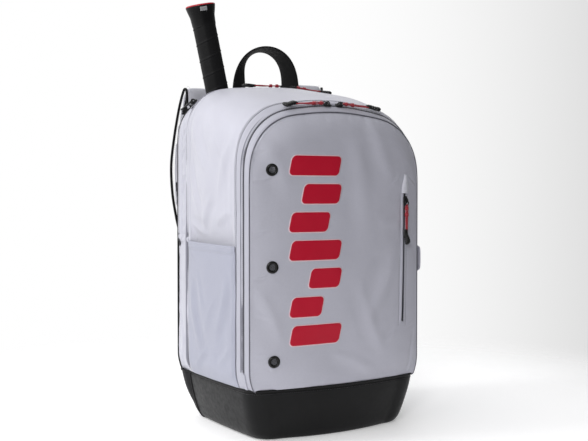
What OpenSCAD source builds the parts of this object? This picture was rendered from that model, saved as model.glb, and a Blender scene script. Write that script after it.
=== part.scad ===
// Racket backpack: moulded base boot, soft body with a clamshell main
// compartment, a drop-down front pocket, a rear racket compartment, padded
// back and shoulder straps, haul loop, zips with cord pulls, and one racket.
// +Z is up, the front faces -Y, and the origin is the centre of the footprint.

/* [Body] */
// Widest width of the bag body
bag_w = 336; // [328:2:344]
// Height of the bag body to the top of its crown
bag_h = 557; // [549:2:565]
// Thickness of the padded side, top and gusset panels
panel_t = 3; // [2:0.5:4]
// How far the front panel domes out past its edge seam
dome = 18; // [12:1:20]
// Depth of the recess behind each side slip pocket
pocket_recess = 10; // [8:1:12]
// Height of the side slip pocket hem above the ground
hem_z = 299; // [280:1:304]

/* [Base] */
// Height of the base boot, where the body panels are sewn on
base_h = 80; // [76:1:80]
// Wall thickness of the base boot
boot_t = 3; // [2:0.5:4]

/* [Harness] */
// Width of a shoulder strap at its widest
strap_w = 72; // [60:2:76]
// Thickness of a shoulder strap pad
strap_t = 14; // [10:1:16]
// Width of the strap webbing
web_w = 25; // [20:1:28]
// Width of the haul loop webbing
loop_w = 27; // [24:1:30]
// Height of the haul loop above its seam
loop_h = 78; // [60:2:90]

/* [Zips] */
// Length of a cord pull from the slider to the tip of its grip
pull_l = 80; // [70:2:84]
// Radius of the red pull cord
cord_r = 1.1; // [0.8:0.1:1.3]

/* [Racket] */
// Overall length of the racket
racket_l = 685; // [675:1:690]
// Outer width of the racket head
head_w = 262; // [250:2:264]
// Outer length of the racket head
head_l = 344; // [330:2:350]
// Tilt of the racket in its compartment
racket_tilt = 12.6; // [12:0.2:14]
// Width of the handle across its flats
grip_w = 38; // [34:0.5:39]
// Thickness of the handle
grip_t = 31; // [29:0.5:31]

/* [Hidden] */

kw = bag_w / 336;
kh = bag_h / 557;
z0 = base_h + 0.6;            // lower edge of the body panels
seam_y = -110;                // front panel seam
front_zip_y = -97;            // front pocket zip
seam1_y = -80;                // rear stitch of the front gusset
main_zip_y = 82;              // main compartment zip
back_y = 136;                 // front face of the back panel
mouth_a = 12; mouth_b = 26;   // outline indices between which the racket mouth is open

// Cross-section of the body at depth y
function hw(y) = kw * lookup(y, [[-110, 156], [-97, 160], [-80, 165], [0, 168], [82, 167], [136, 160], [142, 158]]);
function hwb(y) = kw * lookup(y, [[-110, 149], [-97, 154], [-80, 158], [0, 160], [82, 159], [136, 154], [142, 152]]);
function top(y) = kh * lookup(y, [[-110, 502], [-97, 514], [-80, 524], [0, 546], [82, 557], [136, 550]]);
function rad(y) = lookup(y, [[-110, 86], [-97, 90], [-80, 90], [0, 80], [82, 72], [136, 76]]);
function crn(y) = lookup(y, [[-110, 6], [-97, 7], [-80, 7], [0, 6], [82, 5], [136, 5]]);
function wall(y, z) = hw(y) - (hw(y) - hwb(y)) * pow(max(0, (base_h + 30 - z) / 30), 2);
function clamp(v, a, b) = max(a, min(b, v));

zs = [z0, 88, 97, 110, 200, hem_z + 1, hem_z + 9, hem_z + 33, 390];
// Half of the outline, from the lower left up to the left end of the crown
function half(y, o) = let(r = rad(y) - o, c = crn(y), zc = top(y) - o - c - r, xr = hw(y) - o - r)
  concat([for (z = zs) [-(wall(y, z) - o), y, z]], [[-(hw(y) - o), y, zc]],
    [for (k = [1:7]) [-xr - r * cos(k * 90 / 7), y, zc + r * sin(k * 90 / 7)]]);
// Whole outline at depth y, moved in by o: 39 points from lower left to lower right
function U(y, o = 0) = let(h = half(y, o), n = len(h), xr = -h[n - 1][0], zt = h[n - 1][2], c = crn(y))
  concat(h, [for (k = [1:5]) let(x = -xr + xr * k / 3) [x, y, zt + c * (1 - pow(x / xr, 2))]],
    [for (k = [n - 1:-1:0]) [-h[k][0], y, h[k][2]]]);
function part(l, a, b) = [for (i = [a:b]) l[i]];
function flat(l) = [for (a = l) for (b = a) b];

// Closed solid from points and triangles, turned the right way out
module solid(p, f) {
  v = [for (t = f) cross(p[t[0]], p[t[1]]) * p[t[2]]] * [for (t = f) 1];
  polyhedron(p, v > 0 ? [for (t = f) [t[2], t[1], t[0]]] : f);
}
// Panel between an outer and an inner grid of points
module shell(a, b) {
  n = len(a); m = len(a[0]); k = n * m;
  solid(concat(flat(a), flat(b)), concat(
    [for (i = [0:n - 2]) for (j = [0:m - 2]) let(q = i * m + j, d = q + m + 1) each j < (m - 1) / 2
      ? [[q, q + 1, q + m], [q + 1, d, q + m], [k + q, k + q + m, k + q + 1], [k + q + 1, k + q + m, k + d]]
      : [[q, q + 1, d], [q, d, q + m], [k + q, k + d, k + q + 1], [k + q, k + q + m, k + d]]],
    [for (j = [0:m - 2]) let(q = j, e = (n - 1) * m + j) each [[q + 1, q, k + q], [q + 1, k + q, k + q + 1],
      [e, e + 1, k + e + 1], [e, k + e + 1, k + e]]],
    [for (i = [0:n - 2]) let(q = i * m, e = i * m + m - 1) each [[q, q + m, k + q + m], [q, k + q + m, k + q],
      [e + m, e, k + e], [e + m, k + e, k + e + m]]]));
}
// Solid through a list of rings
module loft(r) {
  n = len(r); m = len(r[0]);
  solid(flat(r), concat(
    [for (i = [0:n - 2]) for (j = [0:m - 1]) let(j2 = (j + 1) % m) each [[i * m + j, i * m + j2, i * m + m + j], [i * m + j2, i * m + m + j2, i * m + m + j]]],
    [for (j = [1:m - 2]) each [[0, j + 1, j], [(n - 1) * m, (n - 1) * m + j, (n - 1) * m + j + 1]]]));
}
// Band of the body between depths ys, outline indices a to b, moved in from o to o + t
module band(ys, a, b, t, o = 0) {
  shell([for (y = ys) part(U(y, o), a, b)], [for (y = ys) part(U(y, o + t), a, b)]);
}
// Flat sheet in the XZ plane from depth y to y + t
module sheet(y, t, pts) {
  translate([0, y + t, 0]) rotate([90, 0, 0]) linear_extrude(t) polygon(pts);
}
function xz(l) = [for (p = l) [p[0], p[2]]];
function rrect(w, h, r, n = 6) = [for (c = [[1, 1, 0], [-1, 1, 90], [-1, -1, 180], [1, -1, 270]]) for (k = [0:n])
  [c[0] * (w / 2 - r) + r * cos(c[2] + k * 90 / n), c[1] * (h / 2 - r) + r * sin(c[2] + k * 90 / n)]];

// ---- base ----
// Seam line of the boot, from its left rear end round the front to its right rear end
cut_y = 98;
function front_ring() = let(l = [for (y = [cut_y, 60, 20, -20, -56]) [-hwb(y), y]],
  c = [for (t = [0:15:90]) [-kw * (114 + 44 * pow(cos(t), 0.77)), -76 - 41 * pow(sin(t), 0.77)]],
  f = [for (k = [1:7]) let(x = -114 + 28.5 * k) [kw * x, -117 - 13 * (1 - pow(x / 114, 2))]])
  concat(l, c, f, [for (i = [len(c) - 1:-1:0]) [-c[i][0], c[i][1]]], [for (i = [len(l) - 1:-1:0]) [-l[i][0], l[i][1]]]);
function rear_ring() = let(l = [[-hwb(98), 98], [-156 * kw, 118], [-153 * kw, 131], [-146 * kw, 138], [-130 * kw, 140], [-65 * kw, 140.5]])
  concat(l, [[0, 140.5]], [for (i = [len(l) - 1:-1:0]) [-l[i][0], l[i][1]]]);
function inset(p, i, z) = [p[0] * (160 - i) / 160,
  p[1] <= cut_y ? p[1] + 0.7 * i * clamp((30 - p[1]) / 100, 0, 1) : p[1] - 0.8 * i * clamp((p[1] - cut_y) / 40, 0, 1), z];
// Height and inset of the boot's outside, top to floor
boot = [[base_h, 0], [60, 1.5], [40, 5], [25, 9.5], [12, 13], [5, 17], [1.2, 21], [0, 25]];
module tray(ring) {
  n = len(ring);
  foot = [for (j = [0:n - 1]) -118 * kw + 236 * kw * j / (n - 1)];
  out = [for (s = boot) [for (p = ring) inset(p, s[1], s[0])]];
  inn = [for (s = boot) let(f = (1 - s[0] / base_h)) [for (p = ring) inset(p, s[1] + boot_t * (1 - 0.25 * f), max(s[0] + boot_t * pow(f, 3), s[0]))]];
  shell(concat(out, [[for (x = foot) [x, cut_y, 0]]]), concat(inn, [[for (x = foot) [x, cut_y, boot_t]]]));
}
module base_boot() { color("#2b2c30") tray(front_ring()); }
module base_rear_fabric() { color("#151517") tray(rear_ring()); }
module base_board() {
  color("#3a3a3c") translate([0, 0, boot_t + 0.6]) linear_extrude(2.4)
    polygon([for (p = front_ring()) let(q = inset(p, 34, 0)) [q[0], min(q[1] - (q[1] > 40 ? 8 : 0), 84)]]);
}
module racket_floor_pad() {
  color("#1d1d20") translate([0, 108.8, boot_t + 0.6]) linear_extrude(14) polygon(rrect(216, 18, 8));
}

// ---- back, root body ----
module back_panel() { color("#17171a") sheet(back_y + 0.4, 3, xz(U(back_y, 1))); }
module back_pads() {
  color("#1b1b1f") for (s = [-1, 1]) translate([s * 74, 0, 370]) sheet(back_y + 3.8, 10, rrect(104, 250, 26));
}
module lumbar_pad() { color("#1b1b1f") translate([0, 0, 168]) sheet(back_y + 3.8, 12, rrect(236, 120, 30)); }
function sheet_pts(y, o) = concat([for (p = [[118, 5], [130, 10], [138, 22], [146, 45], [151, 70], [152, base_h + 4]]) [-p[0] * kw, p[1]]],
  part(xz(U(y, o)), 3, 35), [for (p = [[152, base_h + 4], [151, 70], [146, 45], [138, 22], [130, 10], [118, 5]]) [p[0] * kw, p[1]]]);
module frame_sheet() { color("#6c6d72") sheet(87.4, 2.4, sheet_pts(88, panel_t + 2.2)); }
module laptop_sleeve() {
  color("#2a2a2e") translate([0, 0, 12]) linear_extrude(310)
    polygon([[-124, 87], [-124, 73], [124, 73], [124, 87], [122, 87], [122, 75], [-122, 75], [-122, 87]]);
}
module main_zip_half_rear() { color("#b9bac6") band([main_zip_y + 0.3, 91], 0, 38, 1.8); }
module rear_gusset_left() { color("#c6c6d2") band([91, 106, 121, back_y], 0, mouth_a, panel_t); }
module rear_gusset_right() { color("#c6c6d2") band([91, 106, 121, back_y], mouth_b, 38, panel_t); }
module rear_top_band() { color("#c6c6d2") band([127.2, back_y], mouth_a, mouth_b, panel_t); }
module racket_zip() {
  color("#9c9dab") {
    band([91.2, 93], mouth_a, mouth_b, 1.6);
    band([125, 127], mouth_a, mouth_b, 1.6);
    band([129, 134], 5, mouth_a, 1.2, -1.3);
    band([129, 134], mouth_b, 33, 1.2, -1.3);
  }
}
module strap_yoke() { color("#1b1b1f") translate([0, 0, 516]) sheet(back_y + 3.8, 4.4, rrect(250, 38, 10)); }
module strap_tabs() {
  color("#141416") for (s = [-1, 1]) sheet(back_y + 5, 2.2, [[s * 152, 86], [s * 118, 86], [s * 126, 116], [s * 152, 116]]);
}

// ---- front half ----
side_ys = [-79.8, -66, -40, 0, 40, 60, 74];
function dip(y, z) = pocket_recess * clamp((y + 79.8) / 13.8, 0, 1) * clamp((74 - y) / 14, 0, 1)
  * (z < 89 ? 0 : z < hem_z + 10 ? 1 : z < hem_z + 34 ? 0 : 0);
module side_panel(s) {
  function row(y, o) = [for (p = part(U(y, o), 0, 16)) [s * (p[0] + dip(y, p[2])), p[1], p[2]]];
  color("#c6c6d2") shell([for (y = side_ys) row(y, 0)], [for (y = side_ys) row(y, panel_t)]);
}
module side_panel_left() { side_panel(1); }
module side_panel_right() { side_panel(-1); }
module top_panel() { color("#cdcdd8") band([-79.8, -40, 0, 40, 74], 16, 22, panel_t); }
module side_pocket(s) {
  pz = [z0 + 2, 88, 97, 110, 160, 220, 270, hem_z];
  function row(y, o) = [for (z = pz) [s * (-wall(y, z) - o), y, z]];
  ys = [-78, -60, -30, 0, 30, 60, 72];
  color("#bebecb") shell([for (y = ys) row(y, 2)], [for (y = ys) row(y, 0.3)]);
}
module side_pocket_left() { side_pocket(1); }
module side_pocket_right() { side_pocket(-1); }
module main_zip_half_front() { color("#b9bac6") band([74.2, main_zip_y - 0.3], 0, 38, 1.8); }
module front_gusset() { color("#c6c6d2") band([-93, -80], 0, 38, panel_t); }
module front_zip_half_rear() { color("#b9bac6") band([front_zip_y + 0.3, -93.2], 0, 38, 1.8); }
module pocket_wall() {
  color("#5a5b63") {
    sheet(-84.6, 2, concat([[-146 * kw, base_h + 3]], part(xz(U(-84, 4.2)), 2, 36), [[146 * kw, base_h + 3]]));
    translate([-140 * kw, -104, base_h + 3]) cube([280 * kw, 19.4, 1.8]);
  }
}

// ---- front pocket panel ----
function door_a(z) = wall(seam_y, z);
function door_top(x) = let(r = rad(seam_y), c = crn(seam_y), xr = hw(seam_y) - r, zc = top(seam_y) - c - r, ax = abs(x))
  ax <= xr ? zc + r + c * (1 - pow(ax / xr, 2)) : zc + sqrt(max(0, r * r - pow(ax - xr, 2)));
// How far the front panel stands out in front of its seam at (x, z)
function bulge(x, z) = let(q = abs(x) / door_a(z), up = clamp(1 - (door_top(x) - z) / 45, 0, 1), low = clamp((120 - z) / 40, 0, 1),
  main = dome * (1 - pow(q, 4)) * (1 - up * up)) main * (1 - low) + 20 * (1 - q * q) * low;
function on_door(x, z, o = 0) = [x, seam_y - bulge(x, z) - o, z];
module front_panel() {
  nx = 16; nz = 12;
  function pt(i, j, o) = let(s = sin(90 * (2 * i / nx - 1)), xm = s * hw(seam_y) * 0.9999, t = j / nz,
    zt = door_top(xm) - 0.2, z = z0 + (zt - z0) * (t < 0.5 ? t * 0.5 + t * t : t * 1.5 - 0.25 - pow(t - 0.5, 2) * 1.0),
    x = s * door_a(z)) [x, seam_y - bulge(x, z) + o, z];
  color("#cfcfda") shell([for (i = [0:nx]) [for (j = [0:nz]) pt(i, j, 0)]], [for (i = [0:nx]) [for (j = [0:nz]) pt(i, j, 2.4)]]);
}
module front_band() { color("#c6c6d2") band([-107.4, -101.6], 0, 38, panel_t); }
module front_zip_half_front() { color("#b9bac6") band([-101.4, front_zip_y - 0.3], 0, 38, 1.8); }
module front_piping() {
  p = U(-108.6, -1.5); n = len(p);
  color("#6d6e7c") loft([for (i = [0:n - 1]) let(d = p[min(i + 1, n - 1)] - p[max(i - 1, 0)], l = norm(d), nx = -d[2] / l, nz = d[0] / l)
    [for (a = [0:60:300]) [p[i][0] + 1.2 * cos(a) * nx, p[i][1] + 1.2 * sin(a), p[i][2] + 1.2 * cos(a) * nz]]]);
}
eyelets = [[-124, 412], [-124, 266], [-122, 124]];
module at_door(x, z, o) { translate(on_door(x, z, o)) rotate([0, 0, x < 0 ? -13 : 13]) rotate([90, 0, 0]) children(); }
module vent_eyelets() {
  color("#0e0e10") for (e = eyelets) at_door(e[0] * kw, e[1], 2.2) rotate_extrude($fn = 48)
    polygon([[5, 0], [9.4, 0], [9.4, 0.8], [8.4, 1.9], [6.6, 2.2], [5.4, 1.6], [5, 0.8]]);
}
module eyelet_mesh() { color("#202024") for (e = eyelets) at_door(e[0] * kw, e[1], 2.3) cylinder(r = 4.8, h = 0.8, $fn = 48); }
zip_x = 120;
module door_strip(x, w, za, zb, o, t, tilt = 0) {
  n = 6;
  function row(dx, oo) = [for (i = [0:n]) let(z = za + (zb - za) * i / n, xx = x + dx + tilt * (z - 300)) on_door(xx, z, oo)];
  shell([row(-w / 2, o + t), row(w / 2, o + t)], [row(-w / 2, o), row(w / 2, o)]);
}
module stash_zip() { color("#8f90a0") door_strip(zip_x * kw, 12, 166, 374, 0.3, 1, 0.02); }
module zip_garage() { color("#dcdce4") door_strip((zip_x + 2) * kw, 12, 377, 405, 0.5, 1.6); }
module stash_pocket_bag() { color("#55565e") translate([10, -106, 150]) cube([110 * kw, 2.4, 240]); }

// ---- zip sliders and cord pulls ----
// Slider lying on a zip, its pull side to +X, base on z = 0
module slider() {
  color("#121214") {
    translate([-6.5, -4.2, 0]) cube([13, 8.4, 2.6]);
    translate([1, 0, 2.6]) difference() {
      translate([-4.5, -1, 0]) cube([9, 2, 4.3]);
      translate([-2.8, -2, -1]) cube([5.6, 4, 4.1]);
    }
  }
}
// Cord pull from a pivot at the origin along +X
module pull(l = pull_l) {
  color("#b00020") {
    for (s = [-1, 1]) translate([9, s * 1.4, 0]) rotate([0, 90, 0]) cylinder(r = cord_r, h = l * 0.66 - 9, $fn = 24);
    translate([11.4, 0, 0]) sphere(r = 3.1, $fn = 24);
    translate([l * 0.3, 0, 0]) sphere(r = 3, $fn = 24);
  }
  color("#0f0f11") {
    pull_ring();
    pull_grip(l);
  }
}
module pull_ring() { translate([3.9, 0, 0]) rotate_extrude($fn = 32) translate([3.9, 0]) circle(r = 0.95, $fn = 16); }
module pull_grip(l) {
  color("#0f0f11") translate([l * 0.64, 0, 0]) {
    translate([3, 0, -2.4]) linear_extrude(4.8) polygon([[0, -2.6], [5, -3.9], [20, -4.1], [24, -3], [25, 0], [24, 3], [20, 4.1], [5, 3.9], [0, 2.6]]);
  }
}
pz = 4.5;
function zip_z(x, y) = top(y) - (x * x) * crn(y) / pow(hw(y) - rad(y), 2);
module on_zip(x, y, dir, lean) { translate([x, y, zip_z(x, y)]) rotate([lean, 0, 0]) translate([0, 0, 0.9]) rotate([0, 0, dir > 0 ? 0 : 180]) children(); }
module zip_pull(x, y, dir, lean, droop) { on_zip(x, y, dir, lean) translate([1, 0, pz]) rotate([0, droop, 0]) pull(); }
front_lean = 32;
module front_slider_left() { on_zip(-12, front_zip_y, -1, front_lean) slider(); }
module front_pull_left() { zip_pull(-12, front_zip_y, -1, front_lean, 4); }
module front_slider_right() { on_zip(10, front_zip_y, 1, front_lean) slider(); }
module front_pull_right() { zip_pull(10, front_zip_y, 1, front_lean, 4); }
module main_slider_left() { on_zip(14, main_zip_y, -1, 0) slider(); }
module main_pull_left() { zip_pull(14, main_zip_y, -1, 0, 2); }
module main_slider_right() { on_zip(32, main_zip_y, 1, 0) slider(); }
module main_pull_right() { zip_pull(32, main_zip_y, 1, 0, 5); }
slider_z = 366;
module at_stash(o) { translate(on_door((zip_x + 1) * kw, slider_z, 0)) rotate([0, 0, 12]) rotate([90, 0, 0]) translate([0, 0, o]) rotate([0, 0, -90]) children(); }
module stash_slider() { at_stash(1.5) slider(); }
module stash_pull_cord() {
  color("#b00020") at_stash(1.5 + pz) translate([1, 0, 0]) {
    for (s = [-1, 1]) translate([9, s * 1.4, 0]) rotate([0, 90, 0]) cylinder(r = cord_r, h = 36, $fn = 24);
    translate([12.1, 0, 0]) sphere(r = 3.1, $fn = 24);
    translate([24, 0, 0]) sphere(r = 3.1, $fn = 24);
  }
}
module stash_pull_grip() {
  color("#0f0f11") at_stash(1.5 + pz) translate([1, 0, 0]) {
    pull_ring();
    translate([42.5 - pull_l * 0.64, 0, 0]) pull_grip(pull_l);
  }
}
// Slider of the racket compartment zip, on the left corner arc
rz_y = 131; rz_t = 52;
function rz_c() = [-(hw(rz_y) - rad(rz_y)), rz_y, top(rz_y) - crn(rz_y) - rad(rz_y)];
module at_racket_zip(o) { translate(rz_c()) rotate([0, rz_t - 90, 0]) translate([0, 0, rad(rz_y) + o]) rotate([0, 0, 180]) children(); }
module racket_zip_slider() { at_racket_zip(1.8) slider(); }
module racket_zip_pull() {
  color("#0f0f11") at_racket_zip(1.8 + pz) translate([1, 0, 0]) {
    pull_ring();
    translate([8, -3, -1.3]) cube([18, 6, 2.6]);
  }
}

// ---- haul loop and shoulder straps ----
loop_y = 134.2; loop_z = 553.5; loop_x = 7;
module haul_loop() {
  n = 22; hx = 52; t = 1.1;
  function c(a) = [loop_x - hx * cos(a) * (1 - 0.05 * sin(a)), loop_z + loop_h * pow(sin(a), 0.62)];
  color("#0d0d0f") loft([for (i = [0:n]) let(a = i * 180 / n, p = c(a), d = c(min(180, a + 2)) - c(max(0, a - 2)), l = norm(d),
      q = 78 * pow(sin(a), 1.4), tx = d[0] / l, tz = d[1] / l, nx = -tz, nz = tx,
      w = [nx * cos(q), -sin(q), nz * cos(q)], m = [nx * sin(q), cos(q), nz * sin(q)], c0 = [p[0], loop_y, p[1]])
    [for (k = [[1, 1], [-1, 1], [-1, -1], [1, -1]]) c0 + w * (k[0] * loop_w / 2) + m * (k[1] * t)]]);
}
// Stations of a shoulder strap: x, y, z, share of full width, share of full thickness
function strap(dz) = [[106, 152, 527, 0.84, 0.7], [107, 153.5, 545 + dz * 0.6, 0.88, 0.85], [109, 158, 560 + dz, 0.92, 0.9], [112, 166, 562 + dz, 0.95, 0.95],
  [116, 173, 545 + dz * 0.6, 0.98, 1], [119, 176, 515, 1, 1], [121, 174, 470, 1, 1], [122, 171, 425, 1, 1], [122, 169.5, 380, 0.97, 1],
  [120, 167.5, 345, 0.9, 1], [119, 165.5, 318, 0.78, 0.9], [118, 164.5, 303, 0.62, 0.6]];
module strap_pad(s, dz) {
  p = strap(dz); n = len(p);
  color("#c0c0cc") loft([for (i = [0:n - 1]) let(a = p[max(i - 1, 0)], b = p[min(i + 1, n - 1)], d = [0, b[1] - a[1], b[2] - a[2]], l = norm(d),
      m = [0, -d[2] / l, d[1] / l], w = strap_w / 2 * p[i][3], t = strap_t / 2 * p[i][4])
    [for (k = [[1, 0.35], [0.82, 1], [-0.82, 1], [-1, 0.35], [-1, -0.35], [-0.82, -1], [0.82, -1], [1, -0.35]])
      [s * (p[i][0] + k[0] * w), p[i][1], p[i][2]] + m * (k[1] * t)]]);
}
module strap_pad_left() { strap_pad(-1, -6); }
module strap_pad_right() { strap_pad(1, 10); }
module strap_webbing(s) {
  p = [[118, 160.5, 292], [120, 161, 262], [124, 160, 222], [129, 156.5, 180], [133.5, 151.5, 145], [136, 147, 121]];
  color("#0d0d0f") loft([for (q = p) [for (k = [[1, 1], [-1, 1], [-1, -1], [1, -1]]) [s * (q[0] + k[0] * web_w / 2), q[1] + k[1] * 0.8, q[2]]]]);
}
module strap_webbing_left() { strap_webbing(-1); }
module strap_webbing_right() { strap_webbing(1); }
module ladder_lock(s) {
  color("#0b0b0c") translate([s * 118, 162, 280]) difference() {
    translate([-17, 0, 0]) cube([34, 4.5, 22]);
    for (z = [4, 12]) translate([-13, -1, z]) cube([26, 7, 4.5]);
  }
}
module ladder_lock_left() { ladder_lock(-1); }
module ladder_lock_right() { ladder_lock(1); }

// ---- racket ----
butt = [-132, 109, 693];
module racket_place() { translate(butt) rotate([0, -racket_tilt, 0]) children(); }
head_c = racket_l - head_l / 2;
handle_l = 182;
module rod(a, b, r1, r2) { hull() { translate(a) scale([1, r2 / r1, 1]) sphere(r = r1, $fn = 14); translate(b) scale([1, r2 / r1, 1]) sphere(r = r1, $fn = 14); } }
module racket_frame() {
  n = 36; ra = head_w / 2 - 5.5; rb = head_l / 2 - 5.5;
  function h(i) = [ra * sin(i * 360 / n), 0, -head_c - rb * cos(i * 360 / n)];
  color("#1c1c20") racket_place() {
    for (i = [0:n - 1]) rod(h(i), h(i + 1), 5.4, 11.5);
    for (s = [-1, 1]) {
      rod([s * 9, 0, -handle_l - 8], [s * 15, 0, -232], 8, 11.5);
      rod([s * 15, 0, -232], [s * 34, 0, -284], 7, 11.5);
      rod([s * 34, 0, -284], [s * 60, 0, -340], 6, 11.5);
      rod([s * 60, 0, -340], [s * 84, 0, -392], 5.4, 11.5);
    }
  }
}
module racket_strings() {
  ra = head_w / 2 - 11.6; rb = head_l / 2 - 11.6;
  color("#e8e8ea") racket_place() {
    for (k = [-7.5:1:7.5]) let(x = k * 13, l = rb * sqrt(1 - pow(x / ra, 2))) translate([x, -0.8, -head_c - l]) cylinder(r = 0.65, h = 2 * l, $fn = 24);
    for (k = [-9:1:9]) let(z = k * 15, l = ra * sqrt(1 - pow(z / rb, 2))) translate([-l, 0.8, -head_c + z]) rotate([0, 90, 0]) cylinder(r = 0.65, h = 2 * l, $fn = 24);
  }
}
function oct(w, t) = [[w / 2, t * 0.2], [w * 0.2, t / 2], [-w * 0.2, t / 2], [-w / 2, t * 0.2], [-w / 2, -t * 0.2], [-w * 0.2, -t / 2], [w * 0.2, -t / 2], [w / 2, -t * 0.2]];
module racket_grip() { color("#121214") racket_place() translate([0, 0, -handle_l]) linear_extrude(handle_l - 34) polygon(oct(grip_w, grip_t)); }
module butt_cap() {
  color("#151517") racket_place() hull() {
    translate([0, 0, -33.8]) linear_extrude(0.4) polygon(oct(grip_w, grip_t));
    translate([0, 0, -14]) linear_extrude(0.4) polygon(oct(grip_w + 8, grip_t + 5));
    translate([0, 0, -3]) linear_extrude(0.4) polygon(oct(grip_w + 14, grip_t + 11));
    translate([0, 0, -0.4]) linear_extrude(0.4) polygon(oct(grip_w + 12, grip_t + 8));
  }
}

base_boot();
base_rear_fabric();
base_board();
racket_floor_pad();
back_panel();
back_pads();
lumbar_pad();
frame_sheet();
laptop_sleeve();
main_zip_half_rear();
rear_gusset_left();
rear_gusset_right();
rear_top_band();
racket_zip();
strap_yoke();
strap_tabs();
side_panel_left();
side_panel_right();
top_panel();
side_pocket_left();
side_pocket_right();
main_zip_half_front();
front_gusset();
front_zip_half_rear();
pocket_wall();
front_panel();
front_band();
front_zip_half_front();
front_piping();
vent_eyelets();
eyelet_mesh();
stash_zip();
zip_garage();
stash_pocket_bag();
front_slider_left();
front_pull_left();
front_slider_right();
front_pull_right();
main_slider_left();
main_pull_left();
main_slider_right();
main_pull_right();
stash_slider();
stash_pull_cord();
stash_pull_grip();
racket_zip_slider();
racket_zip_pull();
haul_loop();
strap_pad_left();
strap_webbing_left();
ladder_lock_left();
strap_pad_right();
strap_webbing_right();
ladder_lock_right();
racket_frame();
racket_strings();
racket_grip();
butt_cap();
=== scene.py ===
import math

import bpy
import numpy as np
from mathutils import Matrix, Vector


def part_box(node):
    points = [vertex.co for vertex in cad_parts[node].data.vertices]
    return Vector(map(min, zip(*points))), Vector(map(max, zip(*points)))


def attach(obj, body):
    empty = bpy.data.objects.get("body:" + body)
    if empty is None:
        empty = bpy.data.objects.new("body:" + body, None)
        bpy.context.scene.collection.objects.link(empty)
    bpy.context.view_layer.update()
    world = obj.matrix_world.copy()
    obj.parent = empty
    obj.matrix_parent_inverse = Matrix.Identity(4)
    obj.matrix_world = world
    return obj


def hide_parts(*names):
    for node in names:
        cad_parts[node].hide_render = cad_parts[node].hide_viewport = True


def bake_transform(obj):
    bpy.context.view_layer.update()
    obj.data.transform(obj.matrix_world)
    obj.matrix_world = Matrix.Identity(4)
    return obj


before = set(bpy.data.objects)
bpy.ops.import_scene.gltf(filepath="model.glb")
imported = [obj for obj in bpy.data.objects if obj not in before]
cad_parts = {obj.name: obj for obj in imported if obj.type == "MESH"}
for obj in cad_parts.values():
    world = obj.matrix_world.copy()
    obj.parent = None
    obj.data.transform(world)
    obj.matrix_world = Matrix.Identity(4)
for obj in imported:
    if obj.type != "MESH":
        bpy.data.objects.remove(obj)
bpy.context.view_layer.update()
MM = 0.001
sc = bpy.context.scene
sc.view_settings.view_transform = "Standard"
sc.view_settings.look = "None"

# ------------------------------------------------------------------ camera
cd = bpy.data.cameras.new("camera")
cd.lens, cd.sensor_width, cd.shift_x = 61.22, 36.0, -0.0046
cam = bpy.data.objects.new("camera", cd)
sc.collection.objects.link(cam)
az, pitch = math.radians(-31.2), math.radians(1.57)
back = Vector((math.sin(az) * math.cos(pitch), -math.cos(az) * math.cos(pitch), math.sin(pitch)))
cam.location = (-0.8664, -1.4166, 0.3772)
cam.rotation_mode = "QUATERNION"
cam.rotation_quaternion = (-back).to_track_quat("-Z", "Y")
sc.camera = cam

# ------------------------------------------------------------------ section of the bag, in mm, scaled to the CAD
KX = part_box("side_panel_right")[1].x / 0.168
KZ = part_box("main_zip_half_front")[1].z / 0.557
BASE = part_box("base_boot")[1].z * 1000
Z0 = BASE + 0.6


def _tab(pts):
    ys, vs = [p[0] for p in pts], [p[1] for p in pts]

    def f(y):
        y = np.asarray(y, float)
        out = np.interp(y, ys, vs)
        for a, b, c in ((0, 1, 2), (2, 3, 4)):
            xa, xb, xc = ys[a], ys[b], ys[c]
            q = (vs[a] * (y - xb) * (y - xc) / ((xa - xb) * (xa - xc)) + vs[b] * (y - xa) * (y - xc) / ((xb - xa) * (xb - xc))
                 + vs[c] * (y - xa) * (y - xb) / ((xc - xa) * (xc - xb)))
            out = np.where((y >= xa) & (y <= xc), q, out)
        return out
    return f


_hw = _tab([(-110, 156), (-97, 160), (-80, 165), (0, 168), (82, 167), (136, 160), (142, 158)])
_hwb = _tab([(-110, 149), (-97, 154), (-80, 158), (0, 160), (82, 159), (136, 154), (142, 152)])
_top = _tab([(-110, 502), (-97, 514), (-80, 524), (0, 546), (82, 557), (136, 550), (142, 549.5)])
_rad = _tab([(-110, 86), (-97, 90), (-80, 90), (0, 80), (82, 72), (136, 76), (142, 76)])
_crn = _tab([(-110, 6), (-97, 7), (-80, 7), (0, 6), (82, 5), (136, 5), (142, 5)])
hw = lambda y: KX * _hw(y)
hwb = lambda y: KX * _hwb(y)
topz = lambda y: KZ * _top(y)


def wall(y, z):
    return hw(y) - (hw(y) - hwb(y)) * np.maximum(0, (BASE + 30 - z) / 30) ** 2


def sstep(a, b, v):
    t = np.clip((np.asarray(v, float) - a) / (b - a), 0, 1)
    return t * t * (3 - 2 * t)


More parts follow.
